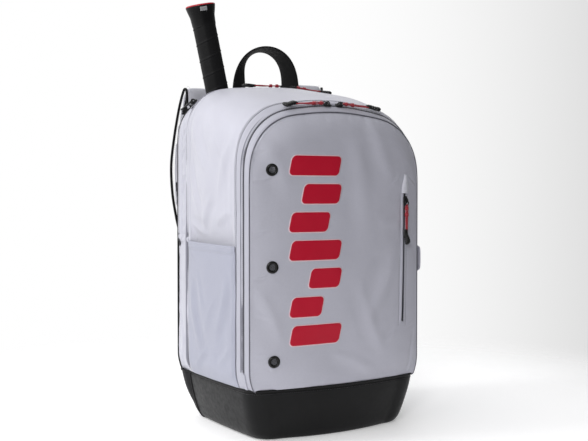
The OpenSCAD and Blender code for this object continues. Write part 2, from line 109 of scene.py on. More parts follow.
def outl(y, o, c):
    """Points of the outline at depth y, moved in by o. c: 0-1 left side, 1-2 left corner, 2-3 crown, 3-4 right corner, 4-5 right side."""
    c = np.asarray(c, float)
    key = (round(float(y), 3), round(float(o), 3))
    if key not in _SM:
        cd_ = np.linspace(0, 5, 1501)
        q = outl_raw(y, o, cd_)[:, (0, 2)]
        a = np.concatenate([[0], np.cumsum(np.linalg.norm(np.diff(q, axis=0), axis=1))])
        h = 1.5
        n = int(a[-1] / h)
        u = np.linspace(0, a[-1], n + 1)
        r = np.stack([np.interp(u, a, q[:, k]) for k in (0, 1)], 1)
        w = np.exp(-0.5 * (np.arange(-30, 31) * a[-1] / n / 15.0) ** 2)
        w /= w.sum()
        pad = np.concatenate([2 * r[0] - r[30:0:-1], r, 2 * r[-1] - r[-2:-32:-1]])
        g = np.stack([np.convolve(pad[:, k], w, "valid") for k in (0, 1)], 1)
        e = np.stack([np.interp(a, u, g[:, k]) for k in (0, 1)], 1)
        b = (sstep(0.5, 0.8, cd_) * sstep(4.5, 4.2, cd_))[:, None]
        _SM[key] = (cd_, q * (1 - b) + e * b)
    cd_, e = _SM[key]
    out = outl_raw(y, o, c)
    m = (c >= 0) & (c <= 5)
    out[..., 0] = np.where(m, np.interp(c, cd_, e[:, 0]), out[..., 0])
    out[..., 2] = np.where(m, np.interp(c, cd_, e[:, 1]), out[..., 2])
    return out


_SM = {}


def outl_raw(y, o, c):
    c = np.asarray(c, float)
    m = np.where(c > 2.5, 5 - c, c)
    sgn = np.where(c > 2.5, 1.0, -1.0)
    r, cr, tp, w = _rad(y) - o, _crn(y), topz(y) - o, hw(y) - o
    xr, zt = w - r, tp - cr
    zc = zt - r
    z = Z0 + (zc - Z0) * np.minimum(m, 1)
    ww = wall(y, np.maximum(z, Z0)) - o
    ww = np.where(m < 0, ww - 4.2 * sstep(0, 3, Z0 - z) + 0.02 * (z - Z0), ww)
    ph = np.clip(m - 1, 0, 1) * math.pi / 2
    k = np.clip(m - 2, 0, 0.5) * 2
    xs = np.where(m <= 1, -ww, np.where(m <= 2, -xr - r * np.cos(ph), -xr * (1 - k)))
    zz = np.where(m <= 1, z, np.where(m <= 2, zc + r * np.sin(ph), zt + cr * (1 - (1 - k) ** 2)))
    return np.stack([-xs * sgn, np.full_like(zz, float(y)), zz], -1)


TUCK = -0.026


def cols(a, b, step=2.6):
    """Column parameters from a to b at about one every step mm."""
    out = []
    for lo, hi, ln in ((TUCK, 0, 11), (0, 1, 392), (1, 2, 128), (2, 3, 172), (3, 4, 128), (4, 5, 392), (5, 5 - TUCK, 11)):
        s, e = max(a, lo), min(b, hi)
        if e > s:
            n = max(2, int(round(ln * (e - s) / (hi - lo) / step)))
            out += list(np.linspace(s, e, n + 1)[:-1])
    return np.array(out + [b])


# ------------------------------------------------------------------ noise
_rs = np.random.RandomState(11)
_perm = np.concatenate([_rs.permutation(256)] * 3)
_grad = _rs.randn(256, 3)
_grad /= np.linalg.norm(_grad, axis=1)[:, None]


def noise(x, y, z=0.0):
    x, y, z = np.broadcast_arrays(np.asarray(x, float), np.asarray(y, float), np.asarray(z, float))
    xi, yi, zi = np.floor(x).astype(int), np.floor(y).astype(int), np.floor(z).astype(int)
    fx, fy, fz = x - xi, y - yi, z - zi
    u, v, w = (t * t * t * (t * (t * 6 - 15) + 10) for t in (fx, fy, fz))
    tot = 0
    for a in (0, 1):
        for b in (0, 1):
            for c in (0, 1):
                g = _grad[_perm[_perm[_perm[(xi + a) & 255] + ((yi + b) & 255)] + ((zi + c) & 255)]]
                d = g[..., 0] * (fx - a) + g[..., 1] * (fy - b) + g[..., 2] * (fz - c)
                tot = tot + d * (u if a else 1 - u) * (v if b else 1 - v) * (w if c else 1 - w)
    return tot * 1.6


def fbm(x, y, z=0.0, n=3):
    return sum(noise(x * 2**k, y * 2**k, z * 2**k + 7.3 * k) / 2**k for k in range(n))


def ridge(x, y, z=0.0):
    return 1 - 2 * np.abs(noise(x, y, z))


# ------------------------------------------------------------------ mesh helpers
def new_obj(name, V, F, body=None, mats=(), fmat=None, uv=None, smooth=True, sharp=None, repl=(), slot=None):
    me = bpy.data.meshes.new(name)
    V = np.asarray(V, float) * MM
    me.from_pydata(V.tolist(), [], [tuple(map(int, f)) for f in F])
    me.update()
    for m in mats:
        me.materials.append(m)
    if fmat is not None:
        me.polygons.foreach_set("material_index", np.asarray(fmat, np.int32))
    if uv is not None:
        lay = me.uv_layers.new(name="uv")
        idx = np.zeros(len(me.loops), np.int32)
        me.loops.foreach_get("vertex_index", idx)
        lay.data.foreach_set("uv", (np.asarray(uv, float)[idx] * MM).astype(np.float32).ravel())
    me.polygons.foreach_set("use_smooth", np.full(len(me.polygons), bool(smooth)))
    if sharp is not None:
        me.set_sharp_from_angle(angle=math.radians(sharp))
    ob = bpy.data.objects.new(name, me)
    sc.collection.objects.link(ob)
    if body:
        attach(ob, body)
    if repl:
        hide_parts(*repl)
    return ob


def volume(V, F):
    s = 0.0
    for f in F:
        a = V[f[0]]
        for k in range(1, len(f) - 1):
            s += np.dot(a, np.cross(V[f[k]], V[f[k + 1]]))
    return s


def outward(V, F):
    V = np.asarray(V, float)
    c = V.mean(0)
    F = [tuple(f) for f in F]
    q = np.array([f[:3] for f in F])
    e = np.array([(f[0], f[2], f[3] if len(f) > 3 else f[2]) for f in F])
    W = V - c
    s = (np.einsum("ij,ij->i", W[q[:, 0]], np.cross(W[q[:, 1]], W[q[:, 2]])) + np.einsum("ij,ij->i", W[e[:, 0]], np.cross(W[e[:, 1]], W[e[:, 2]]))).sum()
    return F if s > 0 else [f[::-1] for f in F]


def grid_normals(P, ref):
    du = np.gradient(P, axis=1)
    dv = np.gradient(P, axis=0)
    n = np.cross(du, dv)
    n /= np.maximum(np.linalg.norm(n, axis=-1, keepdims=True), 1e-9)
    if (n * ref).sum(-1).mean() < 0:
        n = -n
    return n


def grid_shell(P, N, t, roll=0.45):
    """Closed sheet of thickness t whose outer face is grid P, with a rolled rim. Returns V, F, material index, grid index of each vertex."""
    n, m = P.shape[:2]
    I = P - N * (t if np.ndim(t) == 0 else t[..., None])
    K = n * m
    idx = np.arange(K).reshape(n, m)
    q = np.stack([idx[:-1, :-1], idx[:-1, 1:], idx[1:, 1:], idx[1:, :-1]], -1).reshape(-1, 4)
    loop = list(idx[0, :]) + list(idx[1:, -1]) + list(idx[-1, :-1][::-1]) + list(idx[1:-1, 0][::-1])
    G = P.reshape(-1, 3)
    dirs = np.zeros((n, m, 3))
    dirs[0] += P[0] - P[1]
    dirs[-1] += P[-1] - P[-2]
    dirs[:, 0] += P[:, 0] - P[:, 1]
    dirs[:, -1] += P[:, -1] - P[:, -2]
    D = dirs.reshape(-1, 3)[loop]
    D /= np.maximum(np.linalg.norm(D, axis=1, keepdims=True), 1e-9)
    tt = np.broadcast_to(t, (n, m)).reshape(-1)[loop]
    mid = (G[loop] + I.reshape(-1, 3)[loop]) / 2 + D * tt[:, None] * roll
    V = np.concatenate([G, I.reshape(-1, 3), mid])
    L = len(loop)
    F = [tuple(f) for f in q] + [tuple(f[::-1] + K) for f in q]
    fm = [0] * len(q) + [1] * len(q)
    for k in range(L):
        a, b = loop[k], loop[(k + 1) % L]
        ma, mb = 2 * K + k, 2 * K + (k + 1) % L
        F += [(b, a, ma, mb), (mb, ma, a + K, b + K)]
        fm += [0, 0]
    src = np.concatenate([np.arange(K), np.arange(K), np.array(loop)])
    return V, outward(V, F), fm, src


def grid_uv(P):
    du = np.linalg.norm(np.diff(P, axis=1), axis=-1)
    dv = np.linalg.norm(np.diff(P, axis=0), axis=-1)
    U = np.concatenate([np.zeros((P.shape[0], 1)), np.cumsum(du, 1)], 1)
    W = np.concatenate([np.zeros((1, P.shape[1])), np.cumsum(dv, 0)], 0)
    return np.stack([U, W], -1).reshape(-1, 2)


SURF = {}


def band(name, ys, cs, disp=None, t=2.2, off=0.0, roll=0.45, body="shell", mats=(), **kw):
    ys, cs = np.asarray(ys, float), np.asarray(cs, float)
    P = np.stack([outl(y, off, cs) for y in ys])
    ref = P - np.array([0, 0, 300.0])
    ref[..., 1] = 0
    N = grid_normals(P, ref)
    S = np.concatenate([[0], np.cumsum(np.linalg.norm(np.diff(P[len(ys) // 2], axis=0), axis=1))])
    if disp is not None:
        P = P + N * disp(P, ys[:, None], S[None, :], cs[None, :])[..., None]
        N = grid_normals(P, ref)
    SURF[name] = (ys, cs, P, N)
    V, F, fm, src = grid_shell(P, N, t, roll)
    return new_obj(name, V, F, body, mats, fm, grid_uv(P)[src], **kw)


def sweep(path, radius, sides=10, closed=False, ref=(0, 0, 1), sect=None, cap=True):
    """Tube or ribbon along path. sect: cross-section as (a, b) pairs along the side and the reference axis; radius may vary."""
    path = np.asarray(path, float)
    n = len(path)
    if closed:
        T = np.roll(path, -1, 0) - np.roll(path, 1, 0)
    else:
        T = np.gradient(path, axis=0)
    T /= np.maximum(np.linalg.norm(T, axis=1, keepdims=True), 1e-9)
    ref = np.asarray(ref, float)
    R = np.broadcast_to(ref, T.shape).copy()
    A = np.cross(T, R)
    A /= np.maximum(np.linalg.norm(A, axis=1, keepdims=True), 1e-9)
    B = np.cross(A, T)
    if sect is None:
        th = np.arange(sides) * 2 * math.pi / sides
        sect = np.stack([np.cos(th), np.sin(th)], 1)
    sect = np.asarray(sect, float)
    r = np.broadcast_to(np.asarray(radius, float), (n,))
    if sect.ndim == 2:
        sect = np.broadcast_to(sect, (n,) + sect.shape)
    m = sect.shape[1]
    V = (path[:, None] + A[:, None] * sect[..., :1] * r[:, None, None] + B[:, None] * sect[..., 1:] * r[:, None, None]).reshape(-1, 3)
    F = []
    for i in range(n if closed else n - 1):
        i2 = (i + 1) % n
        for j in range(m):
            j2 = (j + 1) % m
            F.append((i * m + j, i * m + j2, i2 * m + j2, i2 * m + j))
    if not closed and cap:
        V = np.concatenate([V, path[:1], path[-1:]])
        k = n * m
        F += [(j, k, (j + 1) % m) for j in range(m)] + [((n - 1) * m + (j + 1) % m, k + 1, (n - 1) * m + j) for j in range(m)]
    ln = np.concatenate([[0], np.cumsum(np.linalg.norm(np.diff(path, axis=0), axis=1))])
    ps = np.concatenate([[0], np.cumsum(np.linalg.norm(np.diff(sect[0], axis=0), axis=1))]) * r.mean()
    uv = np.stack(np.broadcast_arrays(ps[None, :], ln[:, None]), -1).reshape(-1, 2)
    if not closed and cap:
        uv = np.concatenate([uv, [[0, 0], [0, ln[-1]]]])
    return V, outward(V, F), uv


class Soup:
    """Several closed meshes gathered into one object."""

    def __init__(self):
        self.V, self.F, self.M, self.U, self.n = [], [], [], [], 0

    def add(self, V, F, mat=0, uv=None):
        V = np.asarray(V, float)
        self.V.append(V)
        self.F += [tuple(int(i) + self.n for i in f) for f in F]
        self.M += [mat] * len(F) if np.ndim(mat) == 0 else list(mat)
        self.U.append(np.zeros((len(V), 2)) if uv is None else np.asarray(uv, float))
        self.n += len(V)
        return self

    def make(self, name, body, mats, **kw):
        return new_obj(name, np.concatenate(self.V), self.F, body, mats, self.M, np.concatenate(self.U), **kw)


def frame_at(T, N):
    T = T / np.maximum(np.linalg.norm(T, axis=-1, keepdims=True), 1e-9)
    N = N - (N * T).sum(-1, keepdims=True) * T
    N = N / np.maximum(np.linalg.norm(N, axis=-1, keepdims=True), 1e-9)
    return T, N, np.cross(T, N)


def resample(path, step=None, n=None):
    path = np.asarray(path, float)
    s = np.concatenate([[0], np.cumsum(np.linalg.norm(np.diff(path, axis=0), axis=1))])
    if n is None:
        n = max(2, int(round(s[-1] / step)) + 1)
    t = np.linspace(0, s[-1], n)
    return np.stack([np.interp(t, s, path[:, k]) for k in range(path.shape[1])], 1)


def smooth_path(pts, n=60, closed=False):
    """Catmull-Rom through the points."""
    p = np.asarray(pts, float)
    p = np.concatenate([[2 * p[0] - p[1]], p, [2 * p[-1] - p[-2]]])
    out = []
    k = len(p) - 3
    for i in range(k):
        t = np.linspace(0, 1, max(2, n // k) + 1)[:-1, None]
        a, b, c, d = p[i], p[i + 1], p[i + 2], p[i + 3]
        out.append(0.5 * (2 * b + (c - a) * t + (2 * a - 5 * b + 4 * c - d) * t**2 + (3 * b - a - 3 * c + d) * t**3))
    return np.concatenate(out + [p[-2][None]])


def stitches(soup, path, normals, pitch=3.4, length=2.5, r=0.36, lift=0.12, mat=0):
    """A row of sewn stitches: short spindles lying on the surface."""
    d = np.concatenate([path, normals], 1)
    s = np.concatenate([[0], np.cumsum(np.linalg.norm(np.diff(path, axis=0), axis=1))])
    n = int(s[-1] / pitch)
    if n < 1:
        return soup
    t = (np.arange(n) + 0.5) * s[-1] / n
    c = np.stack([np.interp(t, s, d[:, k]) for k in range(6)], 1)
    e = np.stack([np.interp(t + 0.5, s, d[:, k]) - np.interp(t - 0.5, s, d[:, k]) for k in range(3)], 1)
    T, N, B = frame_at(e, c[:, 3:])
    prof = [(-0.5, 0.0, -0.5), (-0.42, 0.75, -0.1), (-0.15, 1.0, 0.0), (0.15, 1.0, 0.0), (0.42, 0.75, -0.1), (0.5, 0.0, -0.5)]
    sides = 6
    th = np.arange(sides) * 2 * math.pi / sides
    V = []
    for a, rr, dz in prof:
        for q in th:
            V.append(c[:, :3] + T * a * length + N * (lift + dz * r * 1.2 + rr * r * math.sin(q)) + B * rr * r * math.cos(q))
    V = np.stack(V, 1)
    m = len(prof) * sides
    F = []
    for i in range(len(prof) - 1):
        for j in range(sides):
            j2 = (j + 1) % sides
            F.append((i * sides + j, i * sides + j2, (i + 1) * sides + j2, (i + 1) * sides + j))
    F = np.array(F)
    F = F if volume(V[0], F) > 0 else F[:, ::-1]
    FF = (F[None] + (np.arange(n) * m)[:, None, None]).reshape(-1, 4)
    return soup.add(V.reshape(-1, 3), FF, mat)


def line_on(name, y=None, c=None, a=None, b=None, lift=0.0):
    """Path and normals on a band piece: along the outline at depth y from c=a to c=b."""
    ys, cs, P, N = SURF[name]
    i = np.interp(y, ys, np.arange(len(ys)))
    i0 = int(min(max(i, 0), len(ys) - 2))
    f = i - i0
    L = P[i0] * (1 - f) + P[i0 + 1] * f
    M = N[i0] * (1 - f) + N[i0 + 1] * f
    k = (cs >= (a if a is not None else -9)) & (cs <= (b if b is not None else 9))
    return L[k] + M[k] * lift, M[k]


def cross_line(name, c, y1, y2, lift=0.0):
    ys, cs, P, N = SURF[name]
    j = int(np.argmin(np.abs(cs - c)))
    k = (ys >= y1) & (ys <= y2)
    return P[k, j] + N[k, j] * lift, N[k, j]


def zip_coil(soup, path, normals, width=4.4, tape=11.0, depth=1.6, pitch=1.5, mt=0, mc=1):
    """Closed coil zip lying depth under the surface: a tape with a woven edge and rows of coil teeth."""
    p = resample(np.concatenate([path, normals], 1), step=3.0)
    c, N = p[:, :3], p[:, 3:]
    T, N, B = frame_at(np.gradient(c, axis=0), N)
    c = c - N * depth
    sect = [(tape / 2, 0.0), (tape / 2, 0.45), (width / 2 + 0.6, 0.6), (0.3, 0.5), (-0.3, 0.5), (-width / 2 - 0.6, 0.6), (-tape / 2, 0.45), (-tape / 2, 0.0)]
    V = (c[:, None] + B[:, None] * np.array([s[0] for s in sect])[None, :, None] + N[:, None] * np.array([s[1] for s in sect])[None, :, None])
    n, m = V.shape[:2]
    V = V.reshape(-1, 3)
    F = [(i * m + j, i * m + (j + 1) % m, (i + 1) * m + (j + 1) % m, (i + 1) * m + j) for i in range(n - 1) for j in range(m)]
    F += [tuple(range(m)), tuple(range((n - 1) * m, n * m))[::-1]]
    soup.add(V, outward(V, [f for f in F]), mt)
    q = resample(np.concatenate([c, N], 1), step=pitch)
    c2, N2 = q[:, :3], q[:, 3:]
    T2, N2, B2 = frame_at(np.gradient(c2, axis=0), N2)
    k = len(c2)
    prof = [(-1, 0.5, -0.5), (-1, 0.9, -0.3), (-1, 0.9, 0.3), (-1, 0.5, 0.5), (1, 0.5, -0.5), (1, 0.9, -0.3), (1, 0.9, 0.3), (1, 0.5, 0.5)]
    side = np.where(np.arange(k) % 2 == 0, 0.18, -0.18)[:, None]
    V = np.stack([c2 + B2 * (a * width / 2 + side * width) + N2 * (0.1 + 1.3 * h * (1.0)) + T2 * (w * pitch * 0.72) for a, h, w in prof], 1)
    ff = [(0, 1, 5, 4), (1, 2, 6, 5), (2, 3, 7, 6), (3, 0, 4, 7), (0, 3, 2, 1), (4, 5, 6, 7)]
    ff = np.array(ff if volume(V[0], ff) > 0 else [f[::-1] for f in ff])
    soup.add(V.reshape(-1, 3), (ff[None] + (np.arange(k) * 8)[:, None, None]).reshape(-1, 4), mc)
    return soup


# ------------------------------------------------------------------ materials
class Mat:
    def __init__(self, name):
        self.m = bpy.data.materials.new(name)
        self.m.use_nodes = True
        self.t = self.m.node_tree
        self.b = self.t.nodes["Principled BSDF"]

    def n(self, kind, ins=None, **props):
        x = self.t.nodes.new("ShaderNode" + kind)
        for k, v in props.items():
            setattr(x, k, v)
        for k, v in (ins or {}).items():
            self.put(x.inputs[k], v)
        return x

    def put(self, sock, v):
        if hasattr(v, "outputs"):
            v = v.outputs[0]
        if hasattr(v, "is_linked"):
            self.t.links.new(v, sock)
        else:
            sock.default_value = v

    def math(self, op, a, b=0.0, c=0.0):
        return self.n("Math", {0: a, 1: b, 2: c}, operation=op).outputs[0]

    def mix(self, f, a, b):
        x = self.n("Mix", data_type="RGBA")
        for k, v in ((0, f), (6, a), (7, b)):
            self.put(x.inputs[k], v)
        return x.outputs[2]

    def bump(self, h, dist, strength=1.0, normal=None):
        x = self.n("Bump", {"Height": h, "Distance": dist, "Strength": strength})
        if normal is not None:
            self.put(x.inputs["Normal"], normal)
        return x.outputs[0]

    def noise(self, co, scale, detail=2.0, rough=0.5):
        return self.n("TexNoise", {"Vector": co, "Scale": scale, "Detail": detail, "Roughness": rough}).outputs[0]

    def range(self, v, a, b, c=0.0, d=1.0):
        return self.n("MapRange", {"Value": v, "From Min": c, "From Max": d, "To Min": a, "To Max": b}).outputs[0]

    def set(self, **kw):
        for k, v in kw.items():
            self.put(self.b.inputs[k.replace("_", " ")], v)
        return self


def rgba(c, k=1.0):
    return (min(1, c[0] * k), min(1, c[1] * k), min(1, c[2] * k), 1.0)


def fabric(name, col, rough=0.5, sheen=0.2, pitch=0.62, weave=0.00012, wrinkle=0.00035, var=0.05, uv=True, spec=0.4, twill=False, aniso=0.0, coat=0.0):
    M = Mat(name)
    tc = M.n("TexCoord")
    obj = tc.outputs["Object"]
    co = tc.outputs["UV"] if uv else obj
    sep = M.n("SeparateXYZ", {0: co})
    k = 2 * math.pi / (pitch * MM)
    a = M.math("MULTIPLY", sep.outputs[0], k)
    b = M.math("MULTIPLY", sep.outputs[1 if uv else 2], k)
    if twill:
        a = M.math("ADD", a, b)
    h = M.math("MULTIPLY", M.math("SINE", a), M.math("SINE", b))
    big = M.noise(obj, 9.0, 2.0)
    fine = M.noise(obj, 420.0, 2.0)
    wr = M.noise(obj, 46.0, 3.0, 0.55)
    c = M.mix(M.range(big, 0.15, 0.85, 0.3, 0.7), rgba(col, 1 - var), rgba(col, 1 + var))
    c = M.mix(M.range(h, 0.0, 0.10, -1, 1), c, rgba(col, 0.62))
    c = M.mix(M.range(fine, 0.0, 0.12, 0.3, 0.7), c, rgba(col, 1.25))
    n1 = M.bump(wr, wrinkle * 3, 0.5)
    n2 = M.bump(h, weave, 0.5, n1)
    M.set(Base_Color=c, Roughness=M.range(M.noise(obj, 24.0), rough - 0.05, rough + 0.07, 0.3, 0.7), Normal=n2, Sheen_Weight=sheen, Sheen_Roughness=0.4, Anisotropic=aniso, Coat_Weight=coat, Coat_Roughness=0.35)
    M.b.inputs["Specular IOR Level"].default_value = spec
    return M.m


def plastic(name, col, rough=0.4, grain=260.0, depth=0.00012, wear=0.25, spec=0.5, coat=0.0, metallic=0.0):
    M = Mat(name)
    obj = M.n("TexCoord").outputs["Object"]
    g = M.noise(obj, grain, 3.0)
    big = M.noise(obj, 18.0, 2.0)
    edge = M.range(M.n("NewGeometry").outputs["Pointiness"], 0.0, wear, 0.505, 0.56)
    c = M.mix(M.range(big, 0.0, 1.0, 0.3, 0.7), rgba(col, 0.88), rgba(col, 1.12))
    c = M.mix(edge, c, rgba(tuple(x * 1.6 + 0.018 for x in col)))
    M.set(Base_Color=c, Roughness=M.range(g, rough - 0.06, rough + 0.08, 0.3, 0.7), Normal=M.bump(g, depth, 0.6), Coat_Weight=coat, Coat_Roughness=0.15, Metallic=metallic)
    M.b.inputs["Specular IOR Level"].default_value = spec
    return M.m


def cell_mesh(name, col, pitch=3.2, depth=0.0006, rough=0.75):
    """Spacer mesh: round holes in rows, darkened inside as painted shade."""
    M = Mat(name)
    obj = M.n("TexCoord").outputs["Object"]
    s = M.n("SeparateXYZ", {0: obj})
    k = 2 * math.pi / (pitch * MM)
    d = M.math("MULTIPLY", M.math("ADD", s.outputs[0], M.math("MULTIPLY", s.outputs[1], 0.7)), k)
    e = M.math("MULTIPLY", M.math("ADD", s.outputs[2], M.math("MULTIPLY", s.outputs[1], 0.2)), k)
    h = M.math("ADD", M.math("COSINE", M.math("ADD", d, e)), M.math("COSINE", M.math("SUBTRACT", d, e)))
    hole = M.range(h, 0.0, 1.0, 0.4, 1.3)
    th = M.noise(obj, 900.0, 2.0)
    # the holes are darkened: painted shade in the recesses
    c = M.mix(hole, rgba(col, 1.25), rgba(col, 0.35))
    c = M.mix(M.range(th, 0, 0.3, 0.35, 0.7), c, rgba(col, 1.7))
    n = M.bump(M.math("SUBTRACT", 1.0, hole), depth, 0.8, M.bump(th, 0.0001, 0.5))
    M.set(Base_Color=c, Roughness=rough, Normal=n, Sheen_Weight=0.03)
    M.b.inputs["Specular IOR Level"].default_value = 0.2
    return M.m


def webbing(name, col, pitch=1.7, rough=0.62):
    """Woven tape: ribs across its length with a fine twill."""
    M = Mat(name)
    tc = M.n("TexCoord")
    s = M.n("SeparateXYZ", {0: tc.outputs["UV"]})
    k = 2 * math.pi / (pitch * MM)
    u = M.math("MULTIPLY", s.outputs[0], k)
    v = M.math("MULTIPLY", s.outputs[1], k)
    h = M.math("ADD", M.math("SINE", M.math("ADD", v, M.math("MULTIPLY", M.math("PINGPONG", u, 3.1416), 0.9))), M.math("MULTIPLY", M.math("SINE", M.math("MULTIPLY", u, 2.0)), 0.4))
    f = M.noise(tc.outputs["Object"], 700.0, 2.0)
    # colour follows the rib height: painted shade between the ribs and painted highlight on their tops
    c = M.mix(M.range(h, 0.0, 1.0, -1.2, 1.2), rgba(col, 0.55), rgba(col, 1.35))
    c = M.mix(M.range(f, 0.0, 0.22, 0.35, 0.7), c, rgba(tuple(x * 1.8 + 0.004 for x in col)))
    M.set(Base_Color=c, Roughness=rough, Normal=M.bump(h, 0.0003, 0.7, M.bump(f, 0.0001, 0.4)), Sheen_Weight=0.04, Sheen_Roughness=0.5)
    M.b.inputs["Specular IOR Level"].default_value = 0.2
    return M.m


def braid(name, col, pitch=1.1):
    M = Mat(name)
    tc = M.n("TexCoord")
    s = M.n("SeparateXYZ", {0: tc.outputs["UV"]})
    k = 2 * math.pi / (pitch * MM)
    u, v = M.math("MULTIPLY", s.outputs[0], k), M.math("MULTIPLY", s.outputs[1], k)
    h = M.math("MAXIMUM", M.math("SINE", M.math("ADD", u, v)), M.math("SINE", M.math("SUBTRACT", u, v)))
    # colour follows the strand height: painted shade in the gaps and painted highlight on the strands
    c = M.mix(M.range(h, 0, 1, -0.6, 1.0), rgba(col, 0.55), rgba(col, 1.2))
    M.set(Base_Color=c, Roughness=0.5, Normal=M.bump(h, 0.0002, 0.7), Sheen_Weight=0.3)
    return M.m


SILVER = (0.53, 0.53, 0.605)
silver = fabric("silver_satin", SILVER, rough=0.42, sheen=0.25, spec=0.55)
# front satin: the silver satin darkened as painted shade for the front panel
silver_front_shaded = fabric("silver_satin_front_painted_shade", (0.50, 0.50, 0.575), rough=0.42, sheen=0.25, spec=0.5)
# gusset satin: the silver satin darkened as painted shade for the front gusset, the door band and the zip ends
silver_gusset_shaded = fabric("silver_satin_gusset_painted_shade", (0.455, 0.455, 0.525), rough=0.44, sheen=0.2, spec=0.45)
# pocket satin: the silver satin darkened as painted shade for the side pockets below the hem
pocket_satin_shaded = fabric("pocket_satin_painted_shade", (0.37, 0.38, 0.465), rough=0.46, sheen=0.2, spec=0.5)
strapf = fabric("strap_satin", (0.56, 0.56, 0.62), rough=0.5, sheen=0.25, uv=False)
# garage satin: the silver satin made paler as painted light on the raised garage tab
garage_satin_lit = fabric("garage_satin_painted_light", (0.68, 0.68, 0.76), rough=0.42, sheen=0.25)
lining = fabric("lining", (0.16, 0.16, 0.185), rough=0.6, sheen=0.1, pitch=0.9, twill=True)
lining_u = fabric("lining_plain", (0.12, 0.12, 0.14), rough=0.6, sheen=0.1, pitch=0.9, uv=False)
blackcloth = fabric("black_cloth", (0.009, 0.009, 0.010), rough=0.6, sheen=0.05, pitch=0.8, uv=False, spec=0.25)
boot_m = plastic("boot_pu", (0.0055, 0.0056, 0.006), rough=0.40, grain=150.0, depth=0.00010, wear=0.06, spec=0.17)
mesh_m = cell_mesh("black_mesh", (0.007, 0.007, 0.0075))
mesh_fine = cell_mesh("black_mesh_fine", (0.010, 0.010, 0.011), pitch=2.1, depth=0.0003)
web_m = webbing("black_webbing", (0.006, 0.006, 0.0065))
tape_m = webbing("zip_tape", (0.21, 0.21, 0.25), pitch=1.0)
tape_dark = webbing("zip_tape_dark", (0.035, 0.035, 0.045), pitch=1.0)
coil_m = plastic("zip_coil", (0.035, 0.035, 0.045), rough=0.35, grain=900.0)
thread = fabric("thread", (0.50, 0.50, 0.57), rough=0.5, pitch=0.3, uv=False)
# dark thread: painted shade for the shadowed stitch holes in the front seam grooves and beside the stash zip
thread_shade = fabric("thread_dark_painted_shade", (0.10, 0.10, 0.13), rough=0.55, pitch=0.3, uv=False)
thread_bk = fabric("thread_black", (0.02, 0.02, 0.022), rough=0.55, pitch=0.3, uv=False)
seam_m = fabric("seam_binding", (0.14, 0.14, 0.17), rough=0.55, pitch=0.5)
zipm = plastic("zip_black", (0.012, 0.012, 0.013), rough=0.28, grain=500.0, depth=0.00005, wear=0.35, metallic=0.3)
gripm = plastic("grip_rubber", (0.007, 0.007, 0.0075), rough=0.24, grain=600.0, depth=0.00005, wear=0.1, spec=0.42)
plast = plastic("plastic_black", (0.013, 0.013, 0.014), rough=0.42, grain=700.0)
cordm = braid("cord_red", (0.44, 0.005, 0.022))
redp = fabric("red_print", (0.50, 0.0, 0.022), rough=0.42, sheen=0.1, weave=0.00006, var=0.03, uv=False)
edgep = fabric("print_edge", (0.72, 0.55, 0.60), rough=0.45, sheen=0.1, weave=0.00004, var=0.02, uv=False)
eyem = plastic("eyelet_black", (0.012, 0.012, 0.012), rough=0.22, grain=300.0, depth=0.00004, wear=0.4, metallic=0.6)
carbon = plastic("racket_paint", (0.014, 0.014, 0.016), rough=0.2, grain=900.0, depth=0.00003, wear=0.3, coat=0.7)
carbon2 = plastic("racket_red", (0.36, 0.008, 0.02), rough=0.22, grain=900.0, depth=0.00003, wear=0.2, coat=0.7)
stringm = plastic("string", (0.66, 0.66, 0.62), rough=0.35, grain=900.0, depth=0.00003, wear=0.1)
gripw = plastic("overgrip", (0.006, 0.006, 0.0065), rough=0.6, grain=1100.0, depth=0.00012, wear=0.10, spec=0.22)
buttm = plastic("butt_black", (0.005, 0.005, 0.0055), rough=0.45, grain=500.0, spec=0.2)
redend = plastic("butt_red", (0.42, 0.006, 0.02), rough=0.35, grain=500.0, wear=0.15)
tagm = plastic("grey_tag", (0.35, 0.35, 0.36), rough=0.4, grain=700.0)
stiff = plastic("stiffener", (0.10, 0.10, 0.11), rough=0.5, grain=120.0, depth=0.0002)

for nm, m in (("base_board", stiff), ("frame_sheet", stiff)):
    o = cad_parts[nm]
    o.data.materials.clear()
    o.data.materials.append(m)

# ------------------------------------------------------------------ shared surface relief
def seam(d, w=1.6, depth=1.3):
    return -depth * np.exp(-(d / w) ** 2)


def pucker(d, s, amp=0.7, reach=9.0, wl=11.0, k=0.0):
    """Short folds that run away from a seam at distance d."""
    return amp * np.exp(-np.abs(d) / reach) * (noise(s / wl, k, 0.03 * d) + 0.5 * noise(s / wl * 2.3, k + 5, 0.0))


def soft(P, amp=1.0, wl=95.0, k=0.0):
    return amp * fbm(P[..., 0] / wl + k, P[..., 1] / wl, P[..., 2] / wl, 2)


def crease(px, pz, x0, z0, x1, z1, w=3.0, h=1.0, bow=0.0):
    """One long fold from (x0, z0) to (x1, z1): a ridge beside a valley that fades at its ends."""
    dx, dz = x1 - x0, z1 - z0
    L = math.hypot(dx, dz)
    t = ((px - x0) * dx + (pz - z0) * dz) / L**2
    n = ((px - x0) * -dz + (pz - z0) * dx) / L - bow * 4 * t * (1 - t)
    f = sstep(-0.12, 0.22, t) * sstep(1.15, 0.7, t)
    return h * f * (np.exp(-(n / w) ** 2) - 0.8 * np.exp(-((n + 1.9 * w) / (1.3 * w)) ** 2))


Y1, YZ, YF = -80.0, -97.0, -110.0      # rear stitch of the front gusset, front zip, front seam
YM = 82.0                              # main zip
HEM = 299.0


def recess(y, z):
    return 6.5 * sstep(-80, -62, y) * sstep(78, 58, y) * sstep(346, 300, z)


def rimk(P):
    """The cloth lies close to the body where it runs under the boot's rim."""
    return 0.12 + 0.88 * sstep(82, 104, P[..., 2])


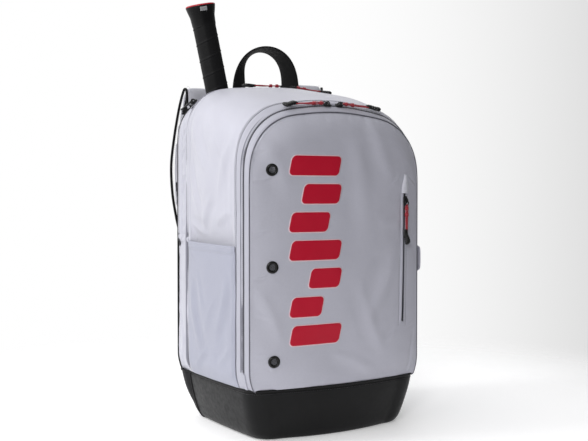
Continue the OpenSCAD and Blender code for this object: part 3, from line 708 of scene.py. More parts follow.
# ------------------------------------------------------------------ main body: sides and top in one cloth
def d_body(P, y, s, c):
    z, x = P[..., 2], P[..., 0]
    d1, d2 = y - Y1, YM - y
    side = 1 - sstep(0.9, 1.6, np.where(c > 2.5, 5 - c, c))
    out = seam(d1, 1.8, 1.5) + 0.9 * np.exp(-((d2 - 5) / 3.2) ** 2) - 0.55 * np.exp(-((d2 - 9.5) / 0.9) ** 2)
    out = out + pucker(d1, s, 0.55, 7, 10, 1.0) + pucker(d2 - 9.5, s, 0.35, 6, 9, 4.0)
    out = out + soft(P, 1.5, 120, 3.0) * sstep(0, 25, d1) * sstep(0, 25, d2)
    out = out - recess(y, z) * np.where(np.abs(x) > 100, 1, 0)
    out = out + 2.2 * np.sin(np.clip((y + 80) / 162, 0, 1) * math.pi) * side * sstep(330, 420, z)
    # long shallow folds that run down from the shoulder
    u = y + 0.32 * (z - 380)
    out = out + side * sstep(310, 360, z) * (0.8 * np.exp(-((u - 10) / 13) ** 2) - 0.6 * np.exp(-((u + 18) / 16) ** 2))
    out = out + 0.5 * side * np.exp(-((y + 66 - 0.02 * (z - 300)) / 2.6) ** 2) * sstep(300, 330, z) * sstep(520, 440, z)
    out = out + 0.5 * side * np.exp(-((y + 52 - 0.05 * (z - 300)) / 3.2) ** 2) * sstep(300, 330, z) * sstep(470, 400, z)
    yy = y + 0 * z
    out = out + side * (crease(yy, z, 66, 506, 8, 408, 10, 3.0, 5) + crease(yy, z, 28, 520, -44, 420, 11, 2.4, -6) + crease(yy, z, 72, 424, 38, 344, 7, 2.0, 4)
                        + crease(yy, z, -66, 470, -30, 372, 8, 2.0, 4) + crease(yy, z, 70, 330, 20, 312, 6, 1.5, 2) + crease(yy, z, -8, 372, 30, 318, 7, 1.6, 3) + crease(yy, z, -70, 350, -20, 330, 6, 1.3, 2))
    return out * rimk(P)


ys = np.concatenate([np.linspace(-79.7, -70, 8), np.linspace(-67.5, 66, 52), np.linspace(68, 81.3, 12)])
body = band("main_body_cloth", ys, cols(TUCK, 5 - TUCK), d_body, 2.4, body=None, mats=(silver, lining),
            repl=("side_panel_left", "side_panel_right", "top_panel"), slot="silver_fabric")


# ------------------------------------------------------------------ side slip pockets
def d_pocket(P, y, s, c):
    z = P[..., 2]
    hem = HEM - 3 * (1 - (y + 80) / 160) + 0.0 * z
    d1 = y - Y1
    belly = 2.4 + 1.6 * np.sin(np.clip((y + 80) / 158, 0, 1) * math.pi) * sstep(90, 200, z)
    out = belly * sstep(0, 8, d1) * sstep(0, 6, 79 - y) + 0.6
    out = out + pucker(d1, z, 0.5, 6, 9, 2.0) + pucker(79 - y, z, 0.6, 8, 10, 7.0) + soft(P, 1.5, 90, 8.0) * sstep(0, 20, d1) * sstep(0, 20, 79 - y)
    out = out + 0.9 * sstep(hem - 11.5, hem - 10.5, z) - 0.5 * np.exp(-((z - hem + 11.5) / 1.2) ** 2)
    out = out + pucker(hem - 11 - z, y, 0.4, 9, 12, 3.0) * (z < hem - 11)
    yy = y + 0 * z
    out = out + crease(yy, z, 74, 288, 50, 268, 2.2, 0.7) + crease(yy, z, 75, 278, 58, 262, 1.8, 0.5)
    out = out + crease(yy, z, 40, 250, 18, 190, 5, 0.8) + crease(yy, z, -20, 215, 20, 150, 6, 0.7)
    out = out + crease(yy, z, 62, 232, 28, 120, 9, 2.2, 5) + crease(yy, z, -58, 246, -20, 150, 9, 2.0, -5) + crease(yy, z, 6, 130, 50, 96, 6, 1.6, 3) + crease(yy, z, -30, 110, -66, 140, 6, 1.3, 2)
    return out * (0.2 + 0.8 * sstep(82, 106, z))


pys = np.concatenate([np.linspace(-79.2, -70, 8), np.linspace(-67, 66, 46), np.linspace(68, 79.5, 10)])
zc0 = float(topz(0.0) - 6 - 80)
SP = Soup()
for side, nm in ((-1, "left"), (1, "right")):
    c_hem = (HEM - Z0) / (zc0 - Z0)
    cc = np.linspace(TUCK * 0.8, c_hem, 78)
    P = np.zeros((len(pys), len(cc), 3))
    for i, y in enumerate(pys):
        zc = float(topz(y) - _crn(y) - _rad(y))
        zt = HEM - 3 * (1 - (y + 80) / 160) - Z0
        P[i] = outl(y, 0.0, cc / c_hem * zt / (zc - Z0))
    if side > 0:
        P[..., 0] *= -1
    ref = np.zeros_like(P)
    ref[..., 0] = side
    N = grid_normals(P, ref)
    P = P + N * d_pocket(P, pys[:, None], None, None)[..., None]
    N = grid_normals(P, ref)
    V, F, fm, src = grid_shell(P, N, 1.3)
    ob = new_obj("slip_pocket_" + nm, V, F, None, (pocket_satin_shaded, lining), fm, grid_uv(P)[src], repl=("side_pocket_" + nm,), slot="pocket_fabric")
    st = Soup()
    for dz in (10.2, 2.0):
        k = int(np.argmin(np.abs(P[20, :, 2] - (P[20, -1, 2] - dz))))
        stitches(st, P[2:-2, k], N[2:-2, k], 3.2, 2.3, 0.3, 0.1)
    k0 = int(np.argmin(np.abs(pys - 76.6)))
    stitches(st, P[k0, 3:-1], N[k0, 3:-1], 3.2, 2.3, 0.3, 0.1)
    so = st.make("slip_pocket_%s_stitching" % nm, None, (thread,))
    ob["pair"] = 1
    SP_obs = (ob, so)
    for o in SP_obs:
        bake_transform(o)


# ------------------------------------------------------------------ front gusset between the rear stitch and the front zip
def d_gus(P, y, s, c):
    d1, d2 = Y1 - y, y - (YZ + 0.7)
    flat = 1 - 0.62 * sstep(1.2, 1.8, np.where(c > 2.5, 5 - c, c))
    out = flat * (seam(d1, 1.7, 1.4) + 0.9 * np.exp(-((d2 - 3.0) / 2.6) ** 2)) + 0.7 * np.sin(np.clip(d1 / 15, 0, 1) * math.pi)
    out = out + pucker(d1, s, 0.5, 5, 9, 12.0) + soft(P, 0.6, 60, 5.0) * sstep(0, 5, d2)
    return out * rimk(P)


cw = cols(TUCK, 5 - TUCK)
cw2 = cols(TUCK * 0.3, 5 - TUCK * 0.3)
band("front_gusset_cloth", np.concatenate([np.linspace(YZ + 1.05, -92, 7), np.linspace(-90.5, -80.2, 9)]), cw, d_gus, 1.6, body=None,
     mats=(silver_gusset_shaded, lining), repl=("front_gusset",), slot="silver_fabric")


# liner that keeps the lower front closed when the main compartment leans forward
zc1_ = float(topz(-85) - _crn(-85) - _rad(-85))
for side, nm in ((-1, "left"), (1, "right")):
    c_hi = (316 - Z0) / (zc1_ - Z0)
    a, b = (0.015, c_hi) if side < 0 else (5 - c_hi, 4.985)
    band("lower_gusset_liner_" + nm, np.linspace(-96.5, -66, 10), cols(a, b, 4.0), lambda P, y, s, c: -4.6 - 3.2 * sstep(-80, -70, y) + 0 * P[..., 2], 0.9, body="front_half",
         mats=(silver, lining))


def d_band(P, y, s, c):
    d1, d2 = y - YF, (YZ - 0.7) - y
    out = 0.25 * np.exp(-((d2 - 3.4) / 2.0) ** 2) + seam(d1 - 1.0, 1.6, 1.2) + 0.4 * np.sin(np.clip(d1 / 9, 0, 1) * math.pi)
    return rimk(P) * (out + pucker(d1, s, 0.35, 4, 8, 22.0) + soft(P, 0.4, 60, 9.0) * sstep(0, 7, d2))


band("front_door_band_cloth", np.concatenate([np.linspace(YF + 0.5, -104, 6), np.linspace(-102.8, YZ - 1.05, 7)]), cw2, d_band, 1.6, body=None,
     mats=(silver_gusset_shaded, lining), repl=("front_band",), slot="silver_fabric")


# ------------------------------------------------------------------ rear gusset: zip lip, gathered strip, racket zip lips
def d_rear(P, y, s, c):
    z = P[..., 2]
    up = sstep(296, 306, z)
    m = np.where(c > 2.5, 5 - c, c)
    out = 0.9 * np.exp(-((y - YM - 5) / 3.2) ** 2) - 0.55 * np.exp(-((y - 95.5) / 0.9) ** 2)
    ruff = np.exp(-((y - 104) / 7.5) ** 2)
    out = out - up * ruff * 1.2 + up * ruff * 3.2 * ridge((s + 0.8 * y) / 15.0, y / 34.0, 2.0) * sstep(1.5, 1.2, m)
    out = out + up * 3.0 * np.exp(-((y - 124) / 9.0) ** 2) * sstep(1.45, 1.1, m)
    out = out + up * (0.8 * np.exp(-((y - 118) / 4.0) ** 2) - 1.9 * np.exp(-((y - 125.5) / 1.0) ** 2) + 0.9 * np.exp(-((y - 131) / 3.0) ** 2) - 0.5 * np.exp(-((y - 112.2) / 0.9) ** 2))
    low = 1 - up
    out = out + low * (1.2 * np.sin(np.clip((y - 95) / 42, 0, 1) * math.pi) + soft(P, 1.3, 60, 2.0))
    out = out + low * (crease(y + 0 * z, z, 132, 190, 104, 120, 4.5, 1.3) + crease(y + 0 * z, z, 100, 150, 120, 96, 4, 1.0) + crease(y + 0 * z, z, 130, 120, 112, 92, 3, 0.8))
    out = out + 1.3 * np.exp(-((z - 301) / 3.2) ** 2) - 1.0 * np.exp(-((z - 293) / 1.6) ** 2) - 0.9 * np.exp(-((z - 309) / 2.2) ** 2)
    out = out + seam(136 - y, 1.6, 1.2) + pucker(136 - y, s, 0.4, 6, 11, 31.0)
    return out * rimk(P)


rys = np.concatenate([np.linspace(82.7, 96, 14), np.linspace(97.5, 122, 17), np.linspace(123, 128, 11), np.linspace(129, 135.8, 7)])
cm = 1 + 3 / 7.0
for side, nm, a, b in ((-1, "left", TUCK, cm), (1, "right", 5 - cm, 5 - TUCK)):
    band("rear_gusset_%s_cloth" % nm, rys, cols(a, b, 2.2), d_rear, 1.8, body="shell", mats=(silver, lining), repl=("rear_gusset_" + nm,), slot="silver_fabric")


def d_rtb(P, y, s, c):
    return 0.9 * np.exp(-((y - 129.5) / 2.4) ** 2) + seam(136 - y, 1.6, 1.2) + soft(P, 0.5, 60, 4.0) + pucker(136 - y, s, 0.3, 4, 9, 37.0)


band("racket_mouth_rear_lip", np.linspace(126.9, 135.8, 9), cols(cm, 5 - cm), d_rtb, 1.8, body="shell", mats=(silver, lining), repl=("rear_top_band",), slot="silver_fabric")


def d_rfl(P, y, s, c):
    return 0.9 * np.exp(-((y - YM - 5) / 3.2) ** 2) - 0.5 * np.exp(-((y - 91) / 0.9) ** 2) + pucker(y - 91, s, 0.3, 5, 9, 47.0)


band("racket_mouth_front_lip", np.concatenate([np.linspace(82.7, 93.3, 11)]), cols(cm, 5 - cm), d_rfl, 1.8, body="shell", mats=(silver, lining))

# ------------------------------------------------------------------ zips
zs = Soup()
L, M = line_on("main_body_cloth", 81.3, a=0.0, b=5.0)
z_main = Soup()
mid = np.stack([outl(YM, 0.0, c) for c in [SURF["main_body_cloth"][1]]])[0]
k = (cw >= 0.0) & (cw <= 5.0)
NM = SURF["main_body_cloth"][3][-6]
zip_coil(z_main, mid[k], NM[k], 4.4, 15.0, 1.5, 1.6)
zf = z_main.make("main_zip_coil", None, (tape_m, coil_m), sharp=40, repl=("main_zip_half_rear", "main_zip_half_front"), slot="zip_tape")
z_front = Soup()
mid = outl(YZ, 0.0, cw)
NZ = SURF["front_gusset_cloth"][3][2]
kz = (cw >= 0.075) & (cw <= 4.925)
zip_coil(z_front, mid[kz], NZ[kz], 3.0, 12.0, 0.75, 1.6)
zf2 = z_front.make("front_zip_coil", None, (tape_m, coil_m), sharp=40, repl=("front_zip_half_rear", "front_zip_half_front"), slot="zip_tape")
# the lips of the front zip meet again below its ends
for side, a, b in ((-1, TUCK * 0.3, 0.072), (1, 4.928, 5 - TUCK * 0.3)):
    band("front_zip_end_%s" % ("left" if side < 0 else "right"), np.linspace(-99.4, -94.6, 7), cols(a, b, 2.2),
         lambda P, y, s, c: 1.25 + 0.3 * np.cos((y + 97) / 2.4 * math.pi / 2), 1.0, body=None, mats=(silver_gusset_shaded, lining))
rz = Soup()
for c0, c1 in ((0.53, cm), (5 - cm, 4.47)):
    nm = "rear_gusset_left_cloth" if c0 < 2 else "rear_gusset_right_cloth"
    ysr, csr, Pr, Nr = SURF[nm]
    L, M = line_on(nm, 125.5, a=c0, b=c1)
    i0 = int(np.argmin(np.abs(ysr - 121)))
    kk = (csr >= c0) & (csr <= c1)
    zip_coil(rz, L, Nr[i0][kk], 3.6, 7.0, -0.5, 1.6)
for y0 in (94.3, 126.0):
    P = outl(y0, 0.0, cols(cm, 5 - cm))
    N = grid_normals(np.stack([outl(y0 - 1, 0.0, cols(cm, 5 - cm)), P]), np.stack([P, P]) * np.array([1, 0, 1]) - np.array([0, 0, 300.0]))[1]
    zip_coil(rz, P, N, 2.6, 4.6, 1.2, 1.6)
rz.make("racket_zip_coils", "shell", (tape_dark, coil_m), sharp=40, repl=("racket_zip",), slot="zip_tape")

# ------------------------------------------------------------------ seam stitching
st = Soup()
L, M = line_on("main_body_cloth", 72.0, a=0.0, b=5.0)
stitches(st, L, M, 3.3, 2.4, 0.3, 0.08)
L, M = line_on("main_body_cloth", -77.6, a=0.0, b=5.0)
stitches(st, L, M, 3.3, 2.4, 0.3, 0.08, 1)
so1 = st.make("main_body_stitching", None, (thread, thread_shade))
st = Soup()
L, M = line_on("front_gusset_cloth", -81.2, a=0.0, b=5.0)
stitches(st, L, M, 2.9, 2.0, 0.5, 0.5, 1)
so2 = st.make("front_gusset_stitching", None, (thread, thread_shade))
st = Soup()
L, M = line_on("front_door_band_cloth", -108.4, a=0.0, b=5.0)
stitches(st, L, M, 2.9, 2.0, 0.45, 0.4, 1)
so3 = st.make("front_door_band_stitching", None, (thread, thread_shade))
st = Soup()
for nm, a, b in (("rear_gusset_left_cloth", 0.0, cm), ("rear_gusset_right_cloth", 5 - cm, 5.0)):
    for yy in (95.5, 112.2):
        L, M = line_on(nm, yy, a=a if yy < 100 else (0.54 if a < 2 else a), b=b if yy < 100 else (b if b < 2 else 4.46))
        stitches(st, L, M, 3.3, 2.4, 0.3, 0.1)
for yy in (91.0,):
    L, M = line_on("racket_mouth_front_lip", yy, a=cm, b=5 - cm)
    stitches(st, L, M, 3.3, 2.4, 0.3, 0.1)
L, M = line_on("racket_mouth_rear_lip", 132.5, a=cm, b=5 - cm)
stitches(st, L, M, 3.3, 2.4, 0.3, 0.1)
st.make("rear_gusset_stitching", "shell", (thread, thread_shade))
front_half_blend = [body, zf2, so1, so2, bpy.data.objects["front_gusset_cloth"]]
for o in front_half_blend:
    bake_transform(o)
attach(zf, "shell")

# ------------------------------------------------------------------ front pocket panel
_ht, _rt, _ct = float(hw(YF)), float(_rad(YF)), float(_crn(YF))
_tt = float(topz(YF))
XR = _ht - _rt
DOME = 18.0


_edge = outl(YF, 0.0, np.linspace(2.5, 5, 1200))


def door_top(x):
    return np.interp(np.abs(x), _et[:, 0], _et[:, 1])


_k = int(np.argmax(_edge[:, 0] > 0.99985 * _edge[:, 0].max()))
_et = np.concatenate([_edge[: _k + 1][:, (0, 2)], [[_ht, _edge[_k, 2] - 1.0]]])


def bulge(x, z):
    q = np.clip(np.abs(x) / wall(YF, z), 0, 1)
    up = np.clip(1 - (door_top(np.clip(x, -_ht, _ht)) - z) / 45, 0, 1)
    low = np.clip((120 - z) / 40, 0, 1)
    low = low * low * (3 - 2 * low)
    return DOME * (1 - q**4) * (1 - up * up) * (1 - low) + 20 * (1 - q * q) * low


def door_relief(x, z):
    de = wall(YF, z) - np.abs(x)
    dt = door_top(np.clip(x, -_ht, _ht)) - z
    d = np.minimum(de, dt)
    s = np.where(de < dt, z, x + 300)
    o = 1.3 * fbm(x / 110 + 4, z / 110, 0.4, 2) * sstep(0, 40, d)
    o = o + pucker(d, s, 0.55, 9, 9, 51.0) * sstep(0, 2.5, d)
    topw = sstep(60, 0, dt) * sstep(10, 40, de)
    o = o + topw * 0.8 * noise((x + 0.3 * (z - 500)) / 8.5, 2.2, 0.0) * sstep(22, 2, dt)
    o = o + crease(x, z, -152, 398, -122, 404, 2.4, 0.9, -4) + crease(x, z, -151, 252, -130, 258, 2.2, 0.9, -3)
    o = o + crease(x, z, -150, 318, -126, 322, 2.6, 0.5) + crease(x, z, -151, 440, -134, 442, 2.2, 0.45)
    o = o + crease(x, z, -148, 133, -124, 133, 2.0, 0.6) + crease(x, z, -149, 196, -128, 190, 2.6, 0.4)
    o = o + crease(x, z, 104, 486, 112, 470, 1.8, 0.8) + crease(x, z, 150, 388, 130, 402, 2.0, 0.9)
    o = o + crease(x, z, 110, 404, 96, 392, 2.4, 0.6) + crease(x, z, 112, 330, 70, 330, 8, 0.8) + crease(x, z, 112, 296, 60, 282, 9, 0.7)
    o = o + crease(x, z, 130, 160, 148, 168, 2.4, 0.7) + crease(x, z, 104, 158, 84, 140, 5, 0.7)
    o = o + crease(x, z, 146, 110, 134, 84, 2.5, 0.7) + crease(x, z, 151, 150, 140, 100, 3.0, 0.6)
    o = o + 0.5 * sstep(100, 82, z) * noise(x / 10.0, 9.0, 0.2)
    o = o + crease(x, z, -150, 470, -96, 380, 12, 1.6, 6) + crease(x, z, 60, 500, 96, 400, 13, 1.7, -6) + crease(x, z, 24, 470, 40, 300, 15, 1.5, 5)
    o = o + crease(x, z, 100, 280, 40, 170, 12, 1.8, 6) + crease(x, z, -20, 130, 60, 92, 9, 1.4, 4) + crease(x, z, -146, 230, -110, 150, 10, 1.4, 4) + crease(x, z, 30, 240, 80, 120, 10, 1.3, -5)
    o = o - 0.7 * np.exp(-((np.abs(x - 120.5 - 0.02 * (z - 300)) - 8.5) / 1.0) ** 2) * sstep(160, 166, z) * sstep(380, 374, z)
    o = o + 0.5 * np.exp(-((x - 120.5 - 0.02 * (z - 300)) / 6.0) ** 2) * sstep(158, 170, z) * sstep(384, 372, z)
    return o


def door(x, z, lift=0.0):
    """Point and normal on the front panel's outer face."""
    x, z = np.asarray(x, float), np.asarray(z, float)

    def f(a, b):
        return np.stack([a, YF - bulge(a, b) - door_relief(a, b), b], -1)
    p = f(x, z)
    e = 0.6
    n = np.cross(f(x + e, z) - f(x - e, z), f(x, z + e) - f(x, z - e))
    n /= np.linalg.norm(n, axis=-1, keepdims=True)
    n = np.where(n[..., 1:2] > 0, -n, n)
    return p + n * lift, n


nx, nz = 150, 190
sx = np.sin(np.linspace(-1, 1, nx) * math.pi / 2) * 0.6 + np.linspace(-1, 1, nx) * 0.4
tz = np.linspace(0, 1, nz)
SX, TZ = np.meshgrid(sx, tz, indexing="ij")
zlow = 70.0
ZT = door_top(SX * _ht * 0.99999) - 0.1
ZZ = zlow + (ZT - zlow) * TZ
XX = SX * wall(YF, np.maximum(ZZ, Z0))
tuck = sstep(0, 3, Z0 - ZZ)
PD = np.stack([XX * (1 - 0.03 * tuck), YF - bulge(XX, np.maximum(ZZ, Z0)) - door_relief(XX, ZZ) + 4.6 * tuck, ZZ], -1)
ref = np.zeros_like(PD)
ref[..., 1] = -1
ND = grid_normals(PD, ref)
V, F, fm, src = grid_shell(PD, ND, 2.0, 0.3)
uvd = np.stack([PD[..., 0], PD[..., 2]], -1).reshape(-1, 2)
dp = new_obj("front_pocket_panel", V, F, None, (silver_front_shaded, lining), fm, uvd[src], repl=("front_panel",), slot="silver_fabric")

# piping round the front panel
pp = outl(YF + 0.6, -1.1, cw2)
V, F, uv = sweep(pp, 0.75, 8, ref=(0, 1, 0))
pipe = new_obj("front_panel_piping", V, F, None, (seam_m,), uv=uv, repl=("front_piping",), slot="zip_tape")
st = Soup()
k = (cw2 > 0) & (cw2 < 5)
po = pp[k]
q = np.stack([po[:, 0] * 0.972, po[:, 2] - np.where(po[:, 2] > 400, (po[:, 2] - 400) * 0.03, 0)], 1)
P2, N2 = door(q[:, 0], q[:, 1])
stitches(st, P2, N2, 3.1, 2.2, 0.3, 0.05, 0)
so4 = st.make("front_panel_stitching", None, (thread, thread_shade))

# generic print: a column of slanted bars with a pale edge
pr = Soup()


def bar(x0, x1, za, zb, slant, rad, grow, mat, top, bot):
    n = 26
    pts = []
    cx, cz = (x0 + x1) / 2, (za + zb) / 2
    w, h = (x1 - x0) / 2 + grow, (zb - za) / 2 + grow
    rr = rad + grow
    for (sx_, sz_, a0) in ((1, 1, 0), (-1, 1, 90), (-1, -1, 180), (1, -1, 270)):
        for k in range(n):
            a = math.radians(a0 + 90 * k / (n - 1))
            pts.append((sx_ * (w - rr) + rr * math.cos(a), sz_ * (h - rr) + rr * math.sin(a)))
    pts = resample(np.array(pts + pts[:1]), n=120)[:-1]
    rings = []
    for k in range(1, 15):
        f = k / 14.0
        q_ = pts.copy()
        core = np.clip(pts[:, 0], -(w - h), w - h) if w > h else pts[:, 0] * 0
        q_[:, 0] = core * 0.98 + (pts[:, 0] - core * 0.98) * f
        q_[:, 1] = pts[:, 1] * f
        rings.append(q_)
    R = np.stack(rings)
    R = R[..., :] + 0
    R[..., 0] += cx + slant * R[..., 1]
    R[..., 1] += cz
    T_, _ = door(R[..., 0], R[..., 1], top)
    edge_, _ = door(R[-1, :, 0], R[-1, :, 1], bot)
    B_, _ = door(R[..., 0], R[..., 1], bot)
    m = R.shape[1]
    K = len(rings)
    V = np.concatenate([T_.reshape(-1, 3), B_.reshape(-1, 3)])
    F = []
    for i in range(K - 1):
        for j in range(m):
            j2 = (j + 1) % m
            F.append((i * m + j, i * m + j2, (i + 1) * m + j2, (i + 1) * m + j))
            F.append((K * m + i * m + j, K * m + (i + 1) * m + j, K * m + (i + 1) * m + j2, K * m + i * m + j2))
    for j in range(m):
        j2 = (j + 1) % m
        F.append(((K - 1) * m + j, (K - 1) * m + j2, K * m + (K - 1) * m + j2, K * m + (K - 1) * m + j))
    half_ = m // 2
    ring0 = list(range(m))
    for j in range(half_):
        a, b, c_, d_ = ring0[j], ring0[(j + 1)], ring0[m - 1 - (j + 1)] if m - 2 - j > j + 1 else None, ring0[m - 1 - j]
        if c_ is None:
            break
        F.append((b, a, d_, c_))
        F.append((K * m + a, K * m + b, K * m + c_, K * m + d_))
    pr.add(V, outward(V, F), mat)


spans = ((-95, -7), (-74, -7), (-95, -28), (-95, -7), (-62, -7), (-95, -40), (-95, -7))
hgt, gap = 30.0, 13.0
for k, (a, b) in enumerate(spans):
    zb_ = 434.0 - k * (hgt + gap)
    bar(a, b, zb_ - hgt, zb_, 0.22, 7.0, 1.6, 1, 0.22, -0.5)
    bar(a, b, zb_ - hgt, zb_, 0.22, 7.0, 0.0, 0, 0.42, -0.5)
decal = pr.make("front_panel_print", "front_door", (redp, edgep), slot="cord_red")

# eyelets with their mesh
ey, em = Soup(), Soup()
for ex, ez in ((-124, 412), (-124, 266), (-122, 124)):
    c, n = door(ex * KX, ez, 0.1)
    n = np.array([n[0] * 0.5 - 0.11, n[1], n[2] * 0.5])
    n /= np.linalg.norm(n)
    a = np.cross(n, (0, 0, 1.0))
    a /= np.linalg.norm(a)
    b = np.cross(n, a)
    prof = [(4.9, -1.8), (4.9, 0.4), (5.3, 1.25), (6.2, 1.9), (7.2, 2.05), (8.2, 1.75), (9.0, 1.1), (9.4, 0.3), (9.4, -1.8)]
    m = 56
    th = np.arange(m) * 2 * math.pi / m
    V = np.array([c + n * h + (a * math.cos(q) + b * math.sin(q)) * r for r, h in prof for q in th])
    k = len(prof)
    F = [(i * m + j, i * m + (j + 1) % m, ((i + 1) % k) * m + (j + 1) % m, ((i + 1) % k) * m + j) for i in range(k) for j in range(m)]
    ey.add(V, outward(V, F))
    rr = [0.0, 1.2, 2.4, 3.6, 5.2]
    for i in range(-4, 5):
        for flip in (0, 1):
            u = i * 1.15
            w = math.sqrt(max(0.2, 5.1**2 - u * u))
            t = np.linspace(-w, w, 12)
            wave = 0.22 * np.cos((t / 1.15 + i + flip) * math.pi)
            pth = np.array([c + (a if flip else b) * u + (b if flip else a) * tt + n * (0.1 + ww * (1 if flip else -1)) for tt, ww in zip(t, wave)])
            V, F, uv = sweep(pth, 0.3, 6, ref=n)
            em.add(V, F)
    disc = np.array([c + n * h + (a * math.cos(q) + b * math.sin(q)) * r for h in (-1.2, -1.7) for r in (5.2,) for q in th])
    F = [(j, (j + 1) % m, m + (j + 1) % m, m + j) for j in range(m)] + [tuple(range(m))[::-1], tuple(range(m, 2 * m))]
    em.add(disc, outward(disc, F))
ey.make("vent_eyelet_rings", "front_door", (eyem,), repl=("vent_eyelets",), slot="eyelet", sharp=50)
em.make("vent_eyelet_mesh", "front_door", (plast,), repl=("eyelet_mesh",), slot="black_mesh")

# ------------------------------------------------------------------ stash pocket zip on the front panel
zx = lambda z: 120.5 * KX + 0.02 * (z - 300) - 0.005 * np.clip(372 - z, 0, 300)
stz = Soup()
zz_ = np.linspace(170, 376, 90)
P, N = door(zx(zz_) + 1.0 * np.sin((zz_ - 170) / 40), zz_)
zip_coil(stz, P, N, 3.4, 9.0, 0.15, 1.5, 0, 1)
for s in (-1, 1):
    xe = zx(zz_) + s * 3.6 + 0.5 * np.sin((zz_ - 170) / 33 + s)
    P, N = door(xe, zz_, 0.35)
    sect = np.stack([np.array([2.1, 2.0, 1.0, -1.0, -2.0, -2.1]), np.array([0.0, 0.7, 1.0, 1.0, 0.7, 0.0])], 1) * np.array([1.0, 1.15])
    T, N2, B = frame_at(np.gradient(P, axis=0), N)
    Vv = P[:, None] + B[:, None] * sect[None, :, :1] + N2[:, None] * (sect[None, :, 1:] - 0.5)
    n_, m_ = Vv.shape[:2]
    F = [(i * m_ + j, i * m_ + (j + 1) % m_, (i + 1) * m_ + (j + 1) % m_, (i + 1) * m_ + j) for i in range(n_ - 1) for j in range(m_)] + [tuple(range(m_)), tuple(range((n_ - 1) * m_, n_ * m_))[::-1]]
    stz.add(Vv.reshape(-1, 3), outward(Vv.reshape(-1, 3), F), 2)
stz.make("stash_zip_tape", "front_door", (tape_dark, coil_m, silver_front_shaded), sharp=45, repl=("stash_zip",), slot="zip_tape")
st = Soup()
for s in (-1, 1):
    zz2 = np.linspace(163, 376, 80)
    P, N = door(zx(zz2) + s * 8.4, zz2, 0.0)
    stitches(st, P, N, 3.1, 2.2, 0.32, 0.05, 1)
xx2 = np.linspace(-8, 8, 8)
for zz3 in (161.5, 165.0):
    P, N = door(zx(zz3) + xx2, np.full(8, zz3), 0.0)
    stitches(st, P, N, 2.8, 2.2, 0.4, 0.1, 0)
P, N = door(zx(104) + np.linspace(-6, 6, 8), np.full(8, 408.0), 0)
st.make("stash_zip_stitching", "front_door", (thread, thread_shade))
# garage: a folded tab over the slider's park
gz = np.linspace(377, 407, 22)
half = 2.6 + 5.0 * sstep(407, 385, gz)
A = np.linspace(-1, 1, 15)
GX = zx(gz)[:, None] + 1.5 + half[:, None] * A[None, :]
PG, NG = door(GX, np.repeat(gz[:, None], 15, 1))
PG = PG + NG * (0.9 + 1.9 * (1 - A[None, :, None] ** 2) * sstep(407, 398, gz)[:, None, None])
NG = grid_normals(PG, NG)
V, F, fm, src = grid_shell(PG, NG, 1.1)
g = Soup().add(V, F, 0, grid_uv(PG)[src])
g.make("stash_zip_garage", "front_door", (garage_satin_lit,), repl=("zip_garage",), slot="silver_fabric")


# ------------------------------------------------------------------ sliders and cord pulls
def local(o, X, Z):
    """Matrix rows for a local frame: +X along the zip, +Z off it."""
    X = np.asarray(X, float) / np.linalg.norm(X)
    Z = np.asarray(Z, float)
    Z = Z - X * (Z @ X)
    Z /= np.linalg.norm(Z)
    Y = np.cross(Z, X)
    o = np.asarray(o, float)
    return lambda p: o + np.asarray(p, float)[..., :1] * X + np.asarray(p, float)[..., 1:2] * Y + np.asarray(p, float)[..., 2:] * Z


def loft_rings(R, cap=True):
    R = np.asarray(R, float)
    n, m = R.shape[:2]
    F = [(i * m + j, i * m + (j + 1) % m, (i + 1) * m + (j + 1) % m, (i + 1) * m + j) for i in range(n - 1) for j in range(m)]
    V = R.reshape(-1, 3)
    if cap:
        V = np.concatenate([V, R[0].mean(0)[None], R[-1].mean(0)[None]])
        F += [(j, n * m, (j + 1) % m) for j in range(m)] + [((n - 1) * m + (j + 1) % m, n * m + 1, (n - 1) * m + j) for j in range(m)]
    return V, outward(V, F)


def rounded(w, h, r, n=5):
    out = []
    for sx_, sy_, a0 in ((1, 1, 0), (-1, 1, 90), (-1, -1, 180), (1, -1, 270)):
        for k in range(n):
            a = math.radians(a0 + 90 * k / (n - 1))
            out.append((sx_ * (w / 2 - r) + r * math.cos(a), sy_ * (h / 2 - r) + r * math.sin(a)))
    return np.array(out)


def slider_mesh(soup, tf, mat=0):
    """Zip slider: waisted body with flanges and a bridge."""
    out = []
    for z, g in ((0.0, -0.5), (0.35, 0.0), (0.9, 0.05), (1.0, -0.5), (1.5, -0.5), (1.6, 0.05), (2.2, 0.0), (2.6, -0.55)):
        x = np.linspace(0, 2 * math.pi, 40, endpoint=False)
        px = 6.4 * np.sign(np.cos(x)) * np.abs(np.cos(x)) ** 0.55
        py = 4.2 * np.sign(np.sin(x)) * np.abs(np.sin(x)) ** 0.55
        py = py * (1 - 0.18 * np.clip(px / 6.4, 0, 1) - 0.10 * np.exp(-(px / 2.5) ** 2))
        k = 1 + g / 5.0
        out.append(np.stack([px * k, py * k, np.full(40, z)], 1))
    V, F = loft_rings(out)
    soup.add(tf(V), F, mat)
    a = np.linspace(0, 1, 22)
    bx = -3.4 + 7.8 * a + 0.0
    bz = 2.2 + 4.3 * np.sin(a * math.pi) ** 0.5
    V, F, uv = sweep(np.stack([bx, 0 * bx, bz], 1), 1.0, sect=rounded(2.2, 1.3, 0.45, 4), ref=(0, 1, 0))
    soup.add(tf(V), F, mat)


def torus(soup, tf, c, R, r, mat, sx_=1.0, m=36):
    th = np.arange(m) * 2 * math.pi / m
    p = np.stack([c[0] + R * sx_ * np.cos(th), c[1] + R * np.sin(th), np.full(m, c[2])], 1)
    V, F, uv = sweep(p, r, 10, closed=True, ref=(0, 0, 1))
    soup.add(tf(V), F, mat)


